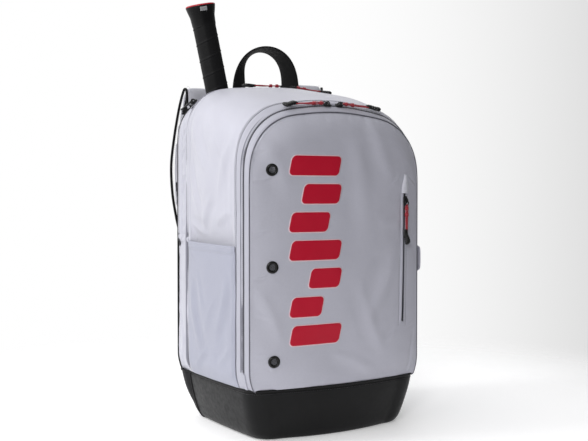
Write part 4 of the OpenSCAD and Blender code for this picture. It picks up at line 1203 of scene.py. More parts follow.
def knot(soup, tf, x, size=3.0, mat=0, seed=0.0):
    """Overhand knot in doubled cord: three crossing wraps round the strands."""
    for k, (a, tilt) in enumerate(((-0.55, 0.35), (0.15, -0.4), (0.8, 0.3))):
        th = np.linspace(0, 2 * math.pi, 26)
        rr = size * 0.78
        p = np.stack([x + a * size * 0.8 + tilt * rr * np.cos(th + seed) + 0.18 * size * np.sin(2 * th), rr * np.cos(th), rr * 0.86 * np.sin(th)], 1)
        V, F, uv = sweep(p[:-1], 1.12, 8, closed=True, ref=(1, 0, 0))
        soup.add(tf(V), F, mat, None)
    V, F = loft_rings([np.stack([np.full(12, x + size * t), 1.9 * math.sqrt(max(0.02, 1 - t * t)) * np.cos(np.arange(12) * math.pi / 6), 1.9 * math.sqrt(max(0.02, 1 - t * t)) * np.sin(np.arange(12) * math.pi / 6)], 1) for t in np.linspace(-1, 1, 7)])
    soup.add(tf(V), F, mat)


def grip_mesh(soup, tf, x0, x1, mat, bend=3.0):
    """S-shaped moulded grip with finger ridges, tapering to its ends."""
    n = 64
    t = np.linspace(0, 1, n)
    cx = x0 + (x1 - x0) * t
    cy = bend * np.sin((t - 0.5) * 2 * math.pi * 0.95)
    wid = 2.7 + 2.0 * np.sin(np.clip(t * 1.02, 0, 1) * math.pi) ** 0.6 + 0.9 * sstep(0.55, 0.9, t)
    wid *= np.sqrt(np.clip(1 - ((t - 0.5) / 0.503) ** 10, 0, 1))
    ridges = 0.32 * np.sin(t * math.pi * 16) * sstep(0.22, 0.3, t) * sstep(0.86, 0.78, t)
    rings = []
    th = np.arange(20) * 2 * math.pi / 20
    for i in range(n):
        w = max(0.25, wid[i] + ridges[i])
        hgt_ = max(0.2, (wid[i] * 0.62 + ridges[i] * 0.8))
        yy = cy[i] + w * np.sign(np.cos(th)) * np.abs(np.cos(th)) ** 0.8
        zz = hgt_ * np.sign(np.sin(th)) * np.abs(np.sin(th)) ** 0.8
        rings.append(np.stack([np.full(20, cx[i]), yy, zz], 1))
    V, F = loft_rings(rings)
    soup.add(tf(V), F, mat)


def pull_mesh(name, body, tf, length=80.0, repl=(), split=None, kn=(11.4, 24.0), bend=3.0, slot="cord_red"):
    s, gsoup = Soup(), Soup()
    tgt = gsoup if split else s
    torus(tgt, tf, (3.9, 0, 0), 3.9, 0.95, 0 if split else 1)
    gx = length * 0.64
    for sgn in (-1, 1):
        x = np.linspace(6.4, gx + 5, 40)
        w = 1.35 + 0.5 * np.sin((x - 9) / (gx - 9) * math.pi)
        p = np.stack([x, sgn * w * sstep(6.0, 9.0, x) + sgn * 0.5 * np.sin(x / 9.0), 0.35 * np.sin(x / 7.0 + sgn)], 1)
        V, F, uv = sweep(p, 1.1, 8, ref=(0, 0, 1))
        s.add(tf(V), F, 0, uv)
    for i, k in enumerate(kn):
        knot(s, tf, k, 3.0, 0, 0.8 * i)
    grip_mesh(tgt, tf, gx, length, 0 if split else 1, bend)
    ob = s.make(name, body, (cordm, gripm) if not split else (cordm,), repl=repl, slot=slot)
    if split:
        gsoup.make(split[0], body, (gripm,), repl=split[1], slot="grip_black")
    return ob


def zipz(x, y):
    return float(topz(y)) - x * x * float(_crn(y)) / (float(hw(y)) - float(_rad(y))) ** 2


PZ = 4.5
for nm, x, y, d, lean, droop in (("front_left", -12, -97, -1, 32, 4), ("front_right", 10, -97, 1, 32, 4), ("main_left", 14, 82, -1, 0, 2), ("main_right", 32, 82, 1, 0, 5)):
    grp, side = nm.split("_")
    L = math.radians(lean)
    up = np.array([0, -math.sin(L), math.cos(L)])
    o = np.array([x, y, zipz(x, y)]) + up * 0.9
    X = np.array([float(d), 0, 0])
    s = Soup()
    slider_mesh(s, local(o, X, up))
    s.make("%s_slider_%s_body" % (grp, side), "%s_slider_%s" % (grp, side), (zipm,), repl=("%s_slider_%s" % (grp, side),), sharp=38, slot="zip_black")
    dr = math.radians(droop)
    piv = o + X * 1.0 + up * PZ
    Xd = X * math.cos(dr) - up * math.sin(dr)
    Zd = up * math.cos(dr) + X * math.sin(dr)
    pull_mesh("%s_pull_%s_cord" % (grp, side), "%s_pull_%s" % (grp, side), local(piv, Xd, Zd), 80.0, repl=("%s_pull_%s" % (grp, side),), bend=2.6 * (1 if side == "left" else -1))

# stash slider hangs on the front panel
ca, sa = math.cos(math.radians(12)), math.sin(math.radians(12))
nrm = np.array([sa, -ca, 0.0])
sb, _ = door(121.0, 366.0)
sb = np.array([121.0, YF - float(bulge(np.array(121.0), np.array(366.0))), 366.0])
s = Soup()
slider_mesh(s, local(sb + nrm * 1.5, (0, 0, -1), nrm))
s.make("stash_slider_body", "stash_slider", (zipm,), repl=("stash_slider",), sharp=38, slot="zip_black")
piv = sb + nrm * (1.5 + PZ) + np.array([0, 0, -1.0])
pull_mesh("stash_pull_cords", "stash_pull", local(piv, (0, 0, -1), nrm), 71.3, repl=("stash_pull_cord",), split=("stash_pull_handle", ("stash_pull_grip",)), kn=(12.1, 22.0), bend=2.8)

# racket zip slider on the corner arc, plain puller
t52 = math.radians(52)
r131 = float(_rad(131))
cc_ = np.array([-(float(hw(131)) - r131), 131.0, float(topz(131)) - float(_crn(131)) - r131])
ur = np.array([-math.cos(t52), 0, math.sin(t52)])
ut = np.array([-math.sin(t52), 0, -math.cos(t52)])
o = cc_ + ur * (r131 + 1.8)
s = Soup()
slider_mesh(s, local(o, ut, ur))
s.make("racket_zip_slider_body", "racket_zip_slider", (zipm,), repl=("racket_zip_slider",), sharp=38, slot="zip_black")
s = Soup()
tf = local(o + ur * PZ + ut * 1.0, ut, ur)
torus(s, tf, (3.9, 0, 0), 3.9, 0.95, 0)
rings = []
for x in np.linspace(6.6, 27, 26):
    w = 3.1 * (0.62 + 0.38 * sstep(6, 14, x)) * math.sqrt(max(0.04, 1 - max(0, (x - 23) / 4.05) ** 2))
    h = 1.2 * (0.9 + 0.12 * math.sin(x * 2.6) * (12 < x < 24))
    q = rounded(2 * w, 2 * h, min(w, h) * 0.7, 5)
    rings.append(np.stack([np.full(len(q), x), q[:, 0], q[:, 1]], 1))
V, F = loft_rings(rings)
s.add(tf(V), F)
s.make("racket_zip_puller", "racket_zip_pull", (zipm,), repl=("racket_zip_pull",), slot="zip_black")


# ------------------------------------------------------------------ haul loop
def ribbon(P, W, w, t, mat_edge=True, crown=0.0, ntw=9):
    """Flat webbing: P centreline, W unit width direction, w width, t thickness."""
    P, W = np.asarray(P, float), np.asarray(W, float)
    T = np.gradient(P, axis=0)
    T /= np.linalg.norm(T, axis=1, keepdims=True)
    W = W - (W * T).sum(1, keepdims=True) * T
    W /= np.linalg.norm(W, axis=1, keepdims=True)
    N = np.cross(T, W)
    w = np.broadcast_to(w, (len(P),))
    a = np.linspace(-1, 1, ntw)
    sec = [(x, 1.0 - 0.35 * abs(x) ** 8) for x in a] + [(1.02, 0.0)] + [(x, -(1.0 - 0.35 * abs(x) ** 8)) for x in a[::-1]] + [(-1.02, 0.0)]
    sec = np.array(sec)
    edge = 0.22 * np.exp(-((np.abs(sec[:, 0]) - 0.93) / 0.05) ** 2)
    V = P[:, None] + W[:, None] * (sec[None, :, :1] * w[:, None, None] / 2) + N[:, None] * (sec[None, :, 1:] * (t / 2) * (1 + edge[None, :, None]) + crown * (1 - sec[None, :, :1] ** 2))
    n, m = V.shape[:2]
    F = [(i * m + j, i * m + (j + 1) % m, (i + 1) * m + (j + 1) % m, (i + 1) * m + j) for i in range(n - 1) for j in range(m)]
    F += [tuple(range(m)), tuple(range((n - 1) * m, n * m))[::-1]]
    ln = np.concatenate([[0], np.cumsum(np.linalg.norm(np.diff(P, axis=0), axis=1))])
    uv = np.stack(np.broadcast_arrays(sec[None, :, 0] * w.mean() / 2, ln[:, None]), -1).reshape(-1, 2)
    V = V.reshape(-1, 3)
    return V, outward(V, F), uv


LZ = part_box("haul_loop")
lz0 = 553.5
n = 110
aa = np.radians(np.linspace(0, 180, n))
sa_ = np.sin(aa)
Pl = np.stack([7 - 52 * np.cos(aa) * (1 - 0.05 * sa_), np.full(n, 134.2), lz0 + 78 * np.abs(sa_) ** 0.62], 1)
Pl = resample(Pl, n=n)
k = np.linspace(0, 1, n)
T = np.gradient(Pl, axis=0)
T /= np.linalg.norm(T, axis=1, keepdims=True)
q = np.radians(np.where(k < 0.5, 0, 31) + np.where(k < 0.5, 76, 45) * np.sin(k * math.pi) ** 1.4)
Nn = np.stack([-T[:, 2], 0 * q, T[:, 0]], 1)
W = Nn * np.cos(q)[:, None] - np.array([0, 1.0, 0]) * np.sin(q)[:, None]
V, F, uv = ribbon(Pl, W, 25 + 6 * k, 2.3, crown=0.5, ntw=13)
s = Soup().add(V, F, 0, uv)
for sgn in (-1, 1):
    e = (W * (11.2 * sgn))
    Nd = np.cross(T, W)
    for sd in (-1, 1):
        stitches(s, Pl[3:-3] + e[3:-3] + Nd[3:-3] * sd * 1.15, Nd[3:-3] * sd, 3.4, 2.4, 0.3, 0.0, 1)
s.make("haul_loop_webbing", "haul_loop", (web_m, thread_bk), repl=("haul_loop",), slot="black_webbing")


# ------------------------------------------------------------------ cloth simulation of padded pieces
def inflate(V, F, name, body, mats, cap, voxel=5.0, pressure=4.0, pick=None, **kw):
    """A padded piece: voxel remesh, 20 frames of cloth under pressure, movement capped, one subdivision."""
    me = bpy.data.meshes.new("tmp_" + name)
    me.from_pydata((np.asarray(V) * MM).tolist(), [], [tuple(map(int, f)) for f in F])
    ob = bpy.data.objects.new("tmp_" + name, me)
    sc.collection.objects.link(ob)
    bpy.context.view_layer.objects.active = ob
    rm = ob.modifiers.new("r", "REMESH")
    rm.mode, rm.voxel_size, rm.adaptivity = "VOXEL", voxel * MM, 0.0
    dg = bpy.context.evaluated_depsgraph_get()
    m2 = bpy.data.meshes.new_from_object(ob.evaluated_get(dg))
    ob.modifiers.clear()
    ob.data = m2
    rest = np.zeros(len(m2.vertices) * 3)
    m2.vertices.foreach_get("co", rest)
    rest = rest.reshape(-1, 3)
    pos = rest
    c = ob.modifiers.new("c", "CLOTH")
    c.settings.use_pressure = True
    c.settings.uniform_pressure_force = pressure
    c.settings.effector_weights.gravity = 0
    c.settings.quality = 5
    c.settings.tension_stiffness = c.settings.compression_stiffness = 25
    c.settings.bending_stiffness = 1.0
    c.point_cache.frame_start, c.point_cache.frame_end = 1, 20
    sc.frame_start, sc.frame_end = 1, 20
    for f in range(1, 21):
        sc.frame_set(f)
    dg = bpy.context.evaluated_depsgraph_get()
    m3 = ob.evaluated_get(dg).to_mesh()
    pos = np.zeros(len(m3.vertices) * 3)
    m3.vertices.foreach_get("co", pos)
    pos = pos.reshape(-1, 3)
    d = pos - rest
    ln = np.linalg.norm(d, axis=1, keepdims=True)
    pos = rest + d * np.minimum(1, cap * MM / np.maximum(ln, 1e-9))
    ob.evaluated_get(dg).to_mesh_clear()
    ob.modifiers.clear()
    sc.frame_set(1)
    if pick is not None:
        pos = pick(pos / MM) * MM
    m2.vertices.foreach_set("co", pos.astype(np.float32).ravel())
    sd = ob.modifiers.new("s", "SUBSURF")
    sd.levels = sd.render_levels = 1
    dg = bpy.context.evaluated_depsgraph_get()
    m4 = bpy.data.meshes.new_from_object(ob.evaluated_get(dg))
    bpy.data.objects.remove(ob)
    m4.name = name
    out = bpy.data.objects.new(name, m4)
    sc.collection.objects.link(out)
    m4.materials.clear()
    for m in mats:
        m4.materials.append(m)
    m4.polygons.foreach_set("use_smooth", np.ones(len(m4.polygons), bool))
    if body:
        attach(out, body)
    if kw.get("repl"):
        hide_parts(*kw["repl"])
    return out


def face_mats(ob, fn):
    me = ob.data
    n = len(me.polygons)
    c, m = np.zeros(n * 3), np.zeros(n * 3)
    me.polygons.foreach_get("center", c)
    me.polygons.foreach_get("normal", m)
    me.polygons.foreach_set("material_index", fn(c.reshape(-1, 3) / MM, m.reshape(-1, 3)).astype(np.int32))
    me.update()


# ------------------------------------------------------------------ shoulder straps
ST = [(106, 152, 527, 0.84, 0.7), (107, 153.5, 545, 0.88, 0.85), (109, 158, 560, 0.92, 0.9), (112, 166, 562, 0.95, 0.95), (116, 173, 545, 0.98, 1), (119, 176, 515, 1, 1),
      (121, 174, 470, 1, 1), (122, 171, 425, 1, 1), (122, 169.5, 380, 0.97, 1), (120, 167.5, 345, 0.9, 1), (119, 165.5, 318, 0.78, 0.9), (118, 164.5, 303, 0.62, 0.6)]
for side, nm, dz in ((-1, "left", -6), (1, "right", 10)):
    pull_in = {1: 2, 2: 5, 3: 8, 4: 10, 5: 9, 6: 4} if side < 0 else {}
    st_ = np.array([(x - pull_in.get(i, 0), y - 0.9 * pull_in.get(i, 0), z + (dz if i in (2, 3) else dz * 0.6 if i in (1, 4) else 0), w, t) for i, (x, y, z, w, t) in enumerate(ST)])
    q = smooth_path(st_, 120)
    q = resample(q, n=110)
    C, W_, T_ = q[:, :3].copy(), q[:, 3] * 36, q[:, 4] * 7
    C[:, 0] *= side
    tg = np.gradient(C, axis=0)
    tg[:, 0] = 0
    tg /= np.linalg.norm(tg, axis=1, keepdims=True)
    Nn = np.stack([0 * tg[:, 0], -tg[:, 2], tg[:, 1]], 1)
    sec = rounded(2, 2, 0.62, 7)
    sec = np.stack([sec[:, 0], sec[:, 1]], 1)
    R = C[:, None] + np.array([1.0, 0, 0]) * (sec[None, :, :1] * (W_[:, None, None] - 2.0)) + Nn[:, None] * (sec[None, :, 1:] * (T_[:, None, None] - 2.2))
    V, F = loft_rings(R)

    def pick(p, C=C, Nn=Nn, W_=W_, T_=T_, side=side):
        # sewn edge: the pad pinches to its binding along both sides
        i = np.argmin(((p[:, None, 1:] - C[None, :, 1:]) ** 2).sum(-1), 1)
        u = (p[:, 0] - C[i, 0]) / W_[i]
        h = ((p - C[i]) * Nn[i]).sum(1)
        want = T_[i] * (1 - 0.62 * np.clip(np.abs(u), 0, 1.1) ** 4)
        k = np.clip(np.abs(h) / np.maximum(T_[i], 1), 0, 1)
        hh = np.sign(h) * np.minimum(np.abs(h), want * 1.04)
        groove = 1.1 * np.exp(-((np.abs(u) - 0.80) / 0.035) ** 2)
        hh = hh - np.sign(h) * groove * sstep(0.3, 0.7, k)
        p = p + Nn[i] * (hh - h)[:, None]
        return p
    pad = inflate(V, F, "strap_pad_%s_cover" % nm, None, (strapf, mesh_m), 2.6, 4.6, 4.0, pick, repl=("strap_pad_" + nm,), slot="silver_fabric", fill=0.55)

    def fm_(c, m, C=C, Nn=Nn, side=side):
        i = np.argmin(((c[:, None, 1:] - C[None, :, 1:]) ** 2).sum(-1), 1)
        inner = (m * Nn[i]).sum(1)
        s_ = 1.0 if Nn[60, 1] < 0 else -1.0
        zz = c[:, 2]
        black = (zz > 512) | (zz < 388 + 0.25 * (np.abs(c[:, 0]) - 120))
        return np.where((inner * s_ > 0.55) & black, 1, 0)
    face_mats(pad, fm_)
    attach(pad, "strap_" + nm)
    # binding round the strap's edge
    s = Soup()
    for e in (-1, 1):
        p = C.copy()
        p[:, 0] += e * (W_ - 0.3)
        V, F, uv = sweep(p, 1.0, sect=rounded(2.2, 4.6, 1.0, 5), ref=(1, 0, 0))
        s.add(V, F, 3, uv)
        for sd in (-1, 1):
            stitches(s, p - np.array([e * 5.5, 0, 0]) + Nn * (sd * T_[:, None] * 0.62), Nn * sd, 3.4, 2.4, 0.3, 0.2, 1)
    # webbing down the strap's outer face
    w0, w1 = int(0.36 * len(C)), len(C) - 1
    sgn = -1.0 if Nn[60, 1] < 0 else 1.0
    pth = C[w0:w1] + Nn[w0:w1] * sgn * (T_[w0:w1, None] + 0.4)
    V, F, uv = ribbon(pth, np.tile([1.0, 0, 0], (len(pth), 1)), 25, 1.5)
    s.add(V, F, 2, uv)
    s.make("strap_%s_trim" % nm, "strap_" + nm, (strapf, thread, web_m, blackcloth), slot="silver_fabric")

    lo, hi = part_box("ladder_lock_" + nm)
    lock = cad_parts["ladder_lock_" + nm]
    lock.data.materials.clear()
    lock.data.materials.append(plast)
    bv = lock.modifiers.new("bevel", "BEVEL")
    bv.width, bv.segments, bv.limit_method, bv.angle_limit = 0.0007, 3, "ANGLE", math.radians(35)
    wp = [(118, 164.4, 304), (118, 164.6, 298), (118, 162.4, 293), (118, 160.6, 288), (120, 161, 262), (124, 160, 222), (129, 156.5, 180), (133.5, 151.5, 145), (136, 147, 121), (138, 143.6, 104)]
    pth = resample(smooth_path([(side * x, y, z) for x, y, z in wp], 120), n=90)
    pth[:, 0] += 0.8 * np.sin(np.linspace(0, 5, 90))
    Wd = np.tile([1.0, 0, 0], (90, 1)) + np.stack([0 * np.linspace(0, 1, 90), 0.12 * np.sin(np.linspace(0, 3, 90)), 0 * np.linspace(0, 1, 90)], 1)
    V, F, uv = ribbon(pth, Wd, 24.5, 1.6)
    tail = resample(smooth_path([(side * 118, 167.6, 303), (side * 118, 170.0, 292), (side * 119, 169.6, 268), (side * 121, 168.6, 240), (side * 122, 170.0, 214)], 60), n=50)
    V2, F2, uv2 = ribbon(tail, np.tile([1.0, 0.05, 0], (50, 1)), 24.5, 1.6)
    so_ = Soup().add(V, F, 0, uv).add(V2, F2, 0, uv2)
    V3, F3, uv3 = ribbon(tail[-6:] + np.array([0, 1.5, 0]), np.tile([1.0, 0.05, 0], (6, 1)), 25.5, 2.2)
    so_.add(V3, F3, 0, uv3)
    wb = so_.make("strap_webbing_%s_tape" % nm, None, (web_m, thread_bk), repl=("strap_webbing_" + nm,), slot="black_webbing")
    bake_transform(wb)

# tabs that take the webbing at the base, sewn into the side seam
s = Soup()
for side in (-1, 1):
    n1, n2 = 22, 14
    A, B = np.meshgrid(np.linspace(0, 1, n1), np.linspace(0, 1, n2), indexing="ij")
    X = side * (118 + 8 * B + (34 - 8 * B) * A)
    Zg = 86 + 30 * B
    Yg = 142.4 - 2.2 * np.clip((A - 0.8) / 0.2, 0, 1) ** 2 + 0.5 * np.sin(A * math.pi)
    P = np.stack([X, Yg, Zg], -1)
    N = grid_normals(P, np.stack([0 * X, 0 * X + 1.0, 0 * X], -1))
    V, F, fm, src = grid_shell(P + N * 0.9, N, 2.0)
    s.add(V, F, 0, grid_uv(P)[src])
    for bb in (1, -2):
        stitches(s, P[2:-2, bb] + N[2:-2, bb] * 0.95, N[2:-2, bb], 3.0, 2.2, 0.32, 0.05, 1)
    stitches(s, P[2, 1:-1] + N[2, 1:-1] * 0.95, N[2, 1:-1], 3.0, 2.2, 0.32, 0.05, 1)
s.make("strap_base_tabs", "shell", (blackcloth, thread_bk), repl=("strap_tabs",), slot="black_webbing")

# ------------------------------------------------------------------ racket
BT, TILT = np.array([-132.0, 109.0, 693.0]), math.radians(12.6)
ct, sn = math.cos(TILT), math.sin(TILT)


def rk(p):
    """Racket frame (z down the racket is negative) to the row frame."""
    p = np.asarray(p, float)
    return BT + np.stack([p[..., 0] * ct - p[..., 2] * sn, p[..., 1], p[..., 0] * sn + p[..., 2] * ct], -1)


RL, HWD, HL, HAND = 685.0, 262.0, 344.0, 182.0
HC = RL - HL / 2


def octo(w, t, n=48, p=5.0):
    th = (np.arange(n) + 0.5) * 2 * math.pi / n
    out = []
    for a in th:
        c, s_ = math.cos(a), math.sin(a)
        d = max(abs(c) / (w / 2), abs(s_) / (t / 2), (abs(c) / (w / 2) + abs(s_) / (t / 2)) / 1.42)
        d2 = (abs(c / (w / 2)) ** p + abs(s_ / (t / 2)) ** p + (abs((abs(c) / (w / 2) + abs(s_) / (t / 2)) / 1.42)) ** p) ** (1 / p)
        out.append((c / (0.5 * d + 0.5 * d2), s_ / (0.5 * d + 0.5 * d2)))
    return np.array(out)


sec = octo(40, 31)
th = np.arctan2(sec[:, 1], sec[:, 0])
zg = np.arange(-HAND, -33.5, 0.9)
rings = []
for z in zg:
    f = ((z / 27.0 - th / (2 * math.pi)) % 1.0)
    ridge_ = 0.75 * np.exp(-((f - 0.06) / 0.045) ** 2) - 0.55 * np.exp(-((f - 0.985) / 0.02) ** 2) + 0.12 * f
    d = ridge_ + 0.12 * noise(sec[:, 0] / 4, sec[:, 1] / 4, z / 5.0)
    k = (np.hypot(sec[:, 0], sec[:, 1]) + d) / np.hypot(sec[:, 0], sec[:, 1])
    rings.append(np.stack([sec[:, 0] * k, sec[:, 1] * k, np.full(len(sec), z)], 1))
V, F = loft_rings(rings)
s = Soup()
uvg = np.concatenate([np.stack(np.broadcast_arrays(th[None] * 16, zg[:, None]), -1).reshape(-1, 2), [[0, 0], [0, 0]]])
s.add(rk(V), F, 0, uvg)
cl = []
for z in np.linspace(-HAND - 9, -HAND + 7, 12):
    b = 1.3 * math.sin(np.clip((z + HAND + 9) / 16, 0, 1) * math.pi) ** 0.5
    k = (np.hypot(sec[:, 0], sec[:, 1]) + 0.4 + b) / np.hypot(sec[:, 0], sec[:, 1])
    cl.append(np.stack([sec[:, 0] * k, sec[:, 1] * k, np.full(len(sec), z)], 1))
V, F = loft_rings(cl)
s.add(rk(V), F, 1)
s.make("racket_overgrip", "racket", (gripw, gripm), repl=("racket_grip",), slot="overgrip")

s = Soup()
rings = []
for z, w, t in ((-36, 40.8, 31.6), (-33.8, 41.4, 32.4), (-28, 42.0, 33.4), (-20, 43.0, 35.0), (-14, 46.4, 37.0), (-8, 49.6, 39.4), (-4, 51.4, 40.8), (-2.6, 51.6, 41.0)):
    q = octo(w, t)
    rings.append(np.stack([q[:, 0], q[:, 1], np.full(len(q), z)], 1))
V, F = loft_rings(rings)
s.add(rk(V), F, 0)
rings = []
for z, w, t in ((-3.4, 50.8, 40.2), (-2.7, 51.5, 40.9), (-1.6, 51.2, 40.6), (-0.8, 50.0, 39.4), (-0.2, 47.6, 37.4), (0.0, 44.0, 34.2), (-0.05, 20, 15), (-0.05, 3, 2)):
    q = octo(w, t)
    rings.append(np.stack([q[:, 0], q[:, 1], np.full(len(q), z)], 1))
V, F = loft_rings(rings)
s.add(rk(V), F, 1)
# small plain tag on the side of the cap
X_, Z_ = np.meshgrid(np.linspace(-6, 6, 9), np.linspace(-12.0, -6.0, 7), indexing="ij")
Yt = -(18.5 + 0.20 * (Z_ + 14)) - 1.0
P = rk(np.stack([X_ - 5.0, Yt, Z_], -1))
N = grid_normals(P, np.array([0, -1.0, 0]))
V, F, fm, src = grid_shell(P, N, 0.8)
s.add(V, F, 2)
s.make("racket_butt_cap", "racket", (buttm, redend, tagm), repl=("butt_cap",), slot="butt", sharp=50)

s = Soup()
n = 160
a = np.arange(n) * 2 * math.pi / n
ra, rb = HWD / 2 - 5.5, HL / 2 - 5.5
p = np.stack([ra * np.sin(a), 0 * a, -HC - rb * np.cos(a)], 1)
T = np.roll(p, -1, 0) - np.roll(p, 1, 0)
T /= np.linalg.norm(T, axis=1, keepdims=True)
O = np.stack([T[:, 2], 0 * a, -T[:, 0]], 1)
O *= np.sign((O * (p - np.array([0, 0, -HC]))).sum(1))[:, None]
th_ = np.arange(22) * 2 * math.pi / 22
ex = np.sign(np.cos(th_)) * np.abs(np.cos(th_)) ** 0.75
ey_ = np.sign(np.sin(th_)) * np.abs(np.sin(th_)) ** 0.75
groove = np.where(ex > 0.8, -0.9 * np.exp(-(ey_ / 0.25) ** 2), 0)
V = p[:, None] + O[:, None] * ((ex * 5.4 + groove)[None, :, None]) + np.array([0, 1.0, 0]) * (ey_ * 11.4)[None, :, None]
m = 22
F = [(i * m + j, i * m + (j + 1) % m, ((i + 1) % n) * m + (j + 1) % m, ((i + 1) % n) * m + j) for i in range(n) for j in range(m)]
fmat = [1 if (i < 16 or i > n - 17) else 0 for i in range(n) for j in range(m)]
V = V.reshape(-1, 3)
s.add(rk(V), outward(V, F), fmat)
for sg in (-1, 1):
    c = smooth_path([(sg * 6, 0, -HAND - 2), (sg * 9, 0, -HAND - 14), (sg * 15, 0, -232), (sg * 34, 0, -284), (sg * 60, 0, -340), (sg * 84, 0, -392)], 80)
    c = resample(c, n=70)
    r1 = np.interp(-c[:, 2], [182, 232, 284, 340, 392], [8.6, 7.2, 6.6, 6.0, 5.4])
    T = np.gradient(c, axis=0)
    T /= np.linalg.norm(T, axis=1, keepdims=True)
    O = np.stack([-T[:, 2], 0 * r1, T[:, 0]], 1)
    R = c[:, None] + O[:, None] * (ex[None, :, None] * r1[:, None, None]) + np.array([0, 1.0, 0]) * (ey_ * 11.2)[None, :, None]
    V, F = loft_rings(R)
    s.add(rk(V), F, [1 if 9 < (k // 22) < 24 else 0 for k in range(69 * 22)] + [0] * 44)
rings = []
for z in np.linspace(-HAND - 34, -HAND + 4, 20):
    k = 1 - 0.28 * (1 - sstep(-HAND - 34, -HAND - 4, z))
    q = octo(31 * k + 4, 24.5)
    rings.append(np.stack([q[:, 0], q[:, 1], np.full(len(q), z)], 1))
V, F = loft_rings(rings)
s.add(rk(V), F, 0)
# bumper strip over the tip and grommets along the inside
aa_ = np.linspace(-0.62, 0.62, 60)
c = np.stack([(ra + 4.6) * np.sin(aa_), 0 * aa_, -HC - (rb + 4.6) * np.cos(aa_)], 1)
T = np.gradient(c, axis=0)
T /= np.linalg.norm(T, axis=1, keepdims=True)
O = np.stack([T[:, 2], 0 * aa_, -T[:, 0]], 1)
O *= np.sign((O * (c - np.array([0, 0, -HC]))).sum(1))[:, None]
bs = rounded(2.4, 15, 1.0, 5)
R = c[:, None] + O[:, None] * bs[None, :, :1] + np.array([0, 1.0, 0]) * bs[None, :, 1:]
V, F = loft_rings(R)
s.add(rk(V), F, 2)
rs_, rt_ = HWD / 2 - 11.2, HL / 2 - 11.2
gr = []
for k in np.arange(-7.5, 8, 1):
    x = k * 13
    l = rt_ * math.sqrt(1 - (x / rs_) ** 2)
    gr += [(x, -HC - l), (x, -HC + l)]
for k in range(-9, 10):
    z = k * 15
    l = rs_ * math.sqrt(1 - (z / rt_) ** 2)
    gr += [(-l, -HC + z), (l, -HC + z)]
for x, z in gr:
    d = np.array([x / rs_**2, 0, (z + HC) / rt_**2])
    d /= np.linalg.norm(d)
    V, F, uv = sweep(np.array([[x, 0, z]]) - d * np.array([[0.6], [-1.6]]), 1.5, 8, ref=(0, 1, 0))
    s.add(rk(V), F, 2)
s.make("racket_frame_body", "racket", (carbon, carbon2, plast), repl=("racket_frame",), slot="racket_carbon")

s = Soup()
for k in np.arange(-7.5, 8, 1):
    x = k * 13
    l = rt_ * math.sqrt(1 - (x / rs_) ** 2) + 1.0
    z = np.linspace(-l, l, max(24, int(l * 2 / 3.2)))
    wv = 0.62 * np.cos((z / 15.0 + k + 0.5) * math.pi)
    V, F, uv = sweep(np.stack([np.full_like(z, x), wv, -HC + z], 1), 0.62, 7, ref=(0, 1, 0))
    s.add(rk(V), F, 0)
for k in range(-9, 10):
    zc_ = k * 15
    l = rs_ * math.sqrt(1 - (zc_ / rt_) ** 2) + 1.0
    x = np.linspace(-l, l, max(24, int(l * 2 / 2.8)))
    wv = -0.62 * np.cos((x / 13.0 + 0.5 - 0.5 + k + 0.5) * math.pi) * 1.0
    V, F, uv = sweep(np.stack([x, wv, np.full_like(x, -HC + zc_)], 1), 0.62, 7, ref=(0, 1, 0))
    s.add(rk(V), F, 0)
s.make("racket_string_bed", "racket", (stringm,), repl=("racket_strings",), slot="string")

# ------------------------------------------------------------------ base boot and rear base fabric
CUT = 98.0


def ring_pts():
    l = [(-float(hwb(y)), y) for y in (CUT, 60, 20, -20, -56)]
    c = [(-KX * (114 + 44 * math.cos(math.radians(t)) ** 0.77), -76 - 41 * math.sin(math.radians(t)) ** 0.77) for t in range(0, 91, 6)]
    f = [(KX * x, -117 - 13 * (1 - (x / 114) ** 2)) for x in np.linspace(-114, 114, 17)[1:-1]]
    h = l + c
    return np.array(h + f + [(-a_, b_) for a_, b_ in h[::-1]])


def smooth_ring(pts, n, k=5):
    q = resample(pts, n=n)
    s_ = q.copy()
    for _ in range(k):
        s_[1:-1] = 0.25 * s_[:-2] + 0.5 * s_[1:-1] + 0.25 * s_[2:]
    return s_


def inset(p, i, z):
    x = p[..., 0] * (160 - i) / 160
    y = np.where(p[..., 1] <= CUT, p[..., 1] + 0.7 * i * np.clip((30 - p[..., 1]) / 100, 0, 1), p[..., 1] - 0.8 * i * np.clip((p[..., 1] - CUT) / 40, 0, 1))
    return np.stack(np.broadcast_arrays(x, y, z), -1)


prof = np.array([(80, 0), (60, 3.5), (40, 8.5), (25, 13), (12, 17.5), (5, 21.5), (1.2, 25.5), (0, 29)], float)
prof = resample(smooth_path(prof, 70), n=46)
prof[:, 0] = np.maximum(prof[:, 0], 0)
prof[:, 0] *= BASE / 80.0
fr = smooth_ring(ring_pts(), 300)
B = np.stack([inset(fr, i, z) for z, i in prof])
ref = B - np.array([0, 20.0, 45.0])
N = grid_normals(B, ref)
zf_ = B[..., 2] / 80.0
sag = 0.7 * fbm(B[..., 0] / 90, B[..., 1] / 90, B[..., 2] / 60, 2) * np.sin(np.clip(zf_, 0, 1) * math.pi)
top_roll = -1.1 * np.exp(-((B[..., 2] - 77.0) / 1.6) ** 2)
B = B + N * (sag + top_roll)[..., None]
B[..., 2] = np.maximum(B[..., 2], 0)
foot = np.stack([np.linspace(-118 * KX, 118 * KX, 300), np.full(300, CUT), np.zeros(300)], 1)
rows = [B[-1] * (1 - f) + foot * f for f in (0.12, 0.3, 0.5, 0.7, 0.85, 1.0)]
for r in rows:
    r[:, 2] = 0
B2 = np.concatenate([B, np.stack(rows)])
N = grid_normals(B2, B2 - np.array([0, 0, 60.0]))
N[-6:] = (0, 0, -1.0)
V, F, fm, src = grid_shell(B2, N, 2.6, 0.35)
boot = new_obj("base_boot_shell", V, F, "shell", (boot_m, lining), fm, grid_uv(B2)[src], repl=("base_boot",), slot="boot")
s = Soup()
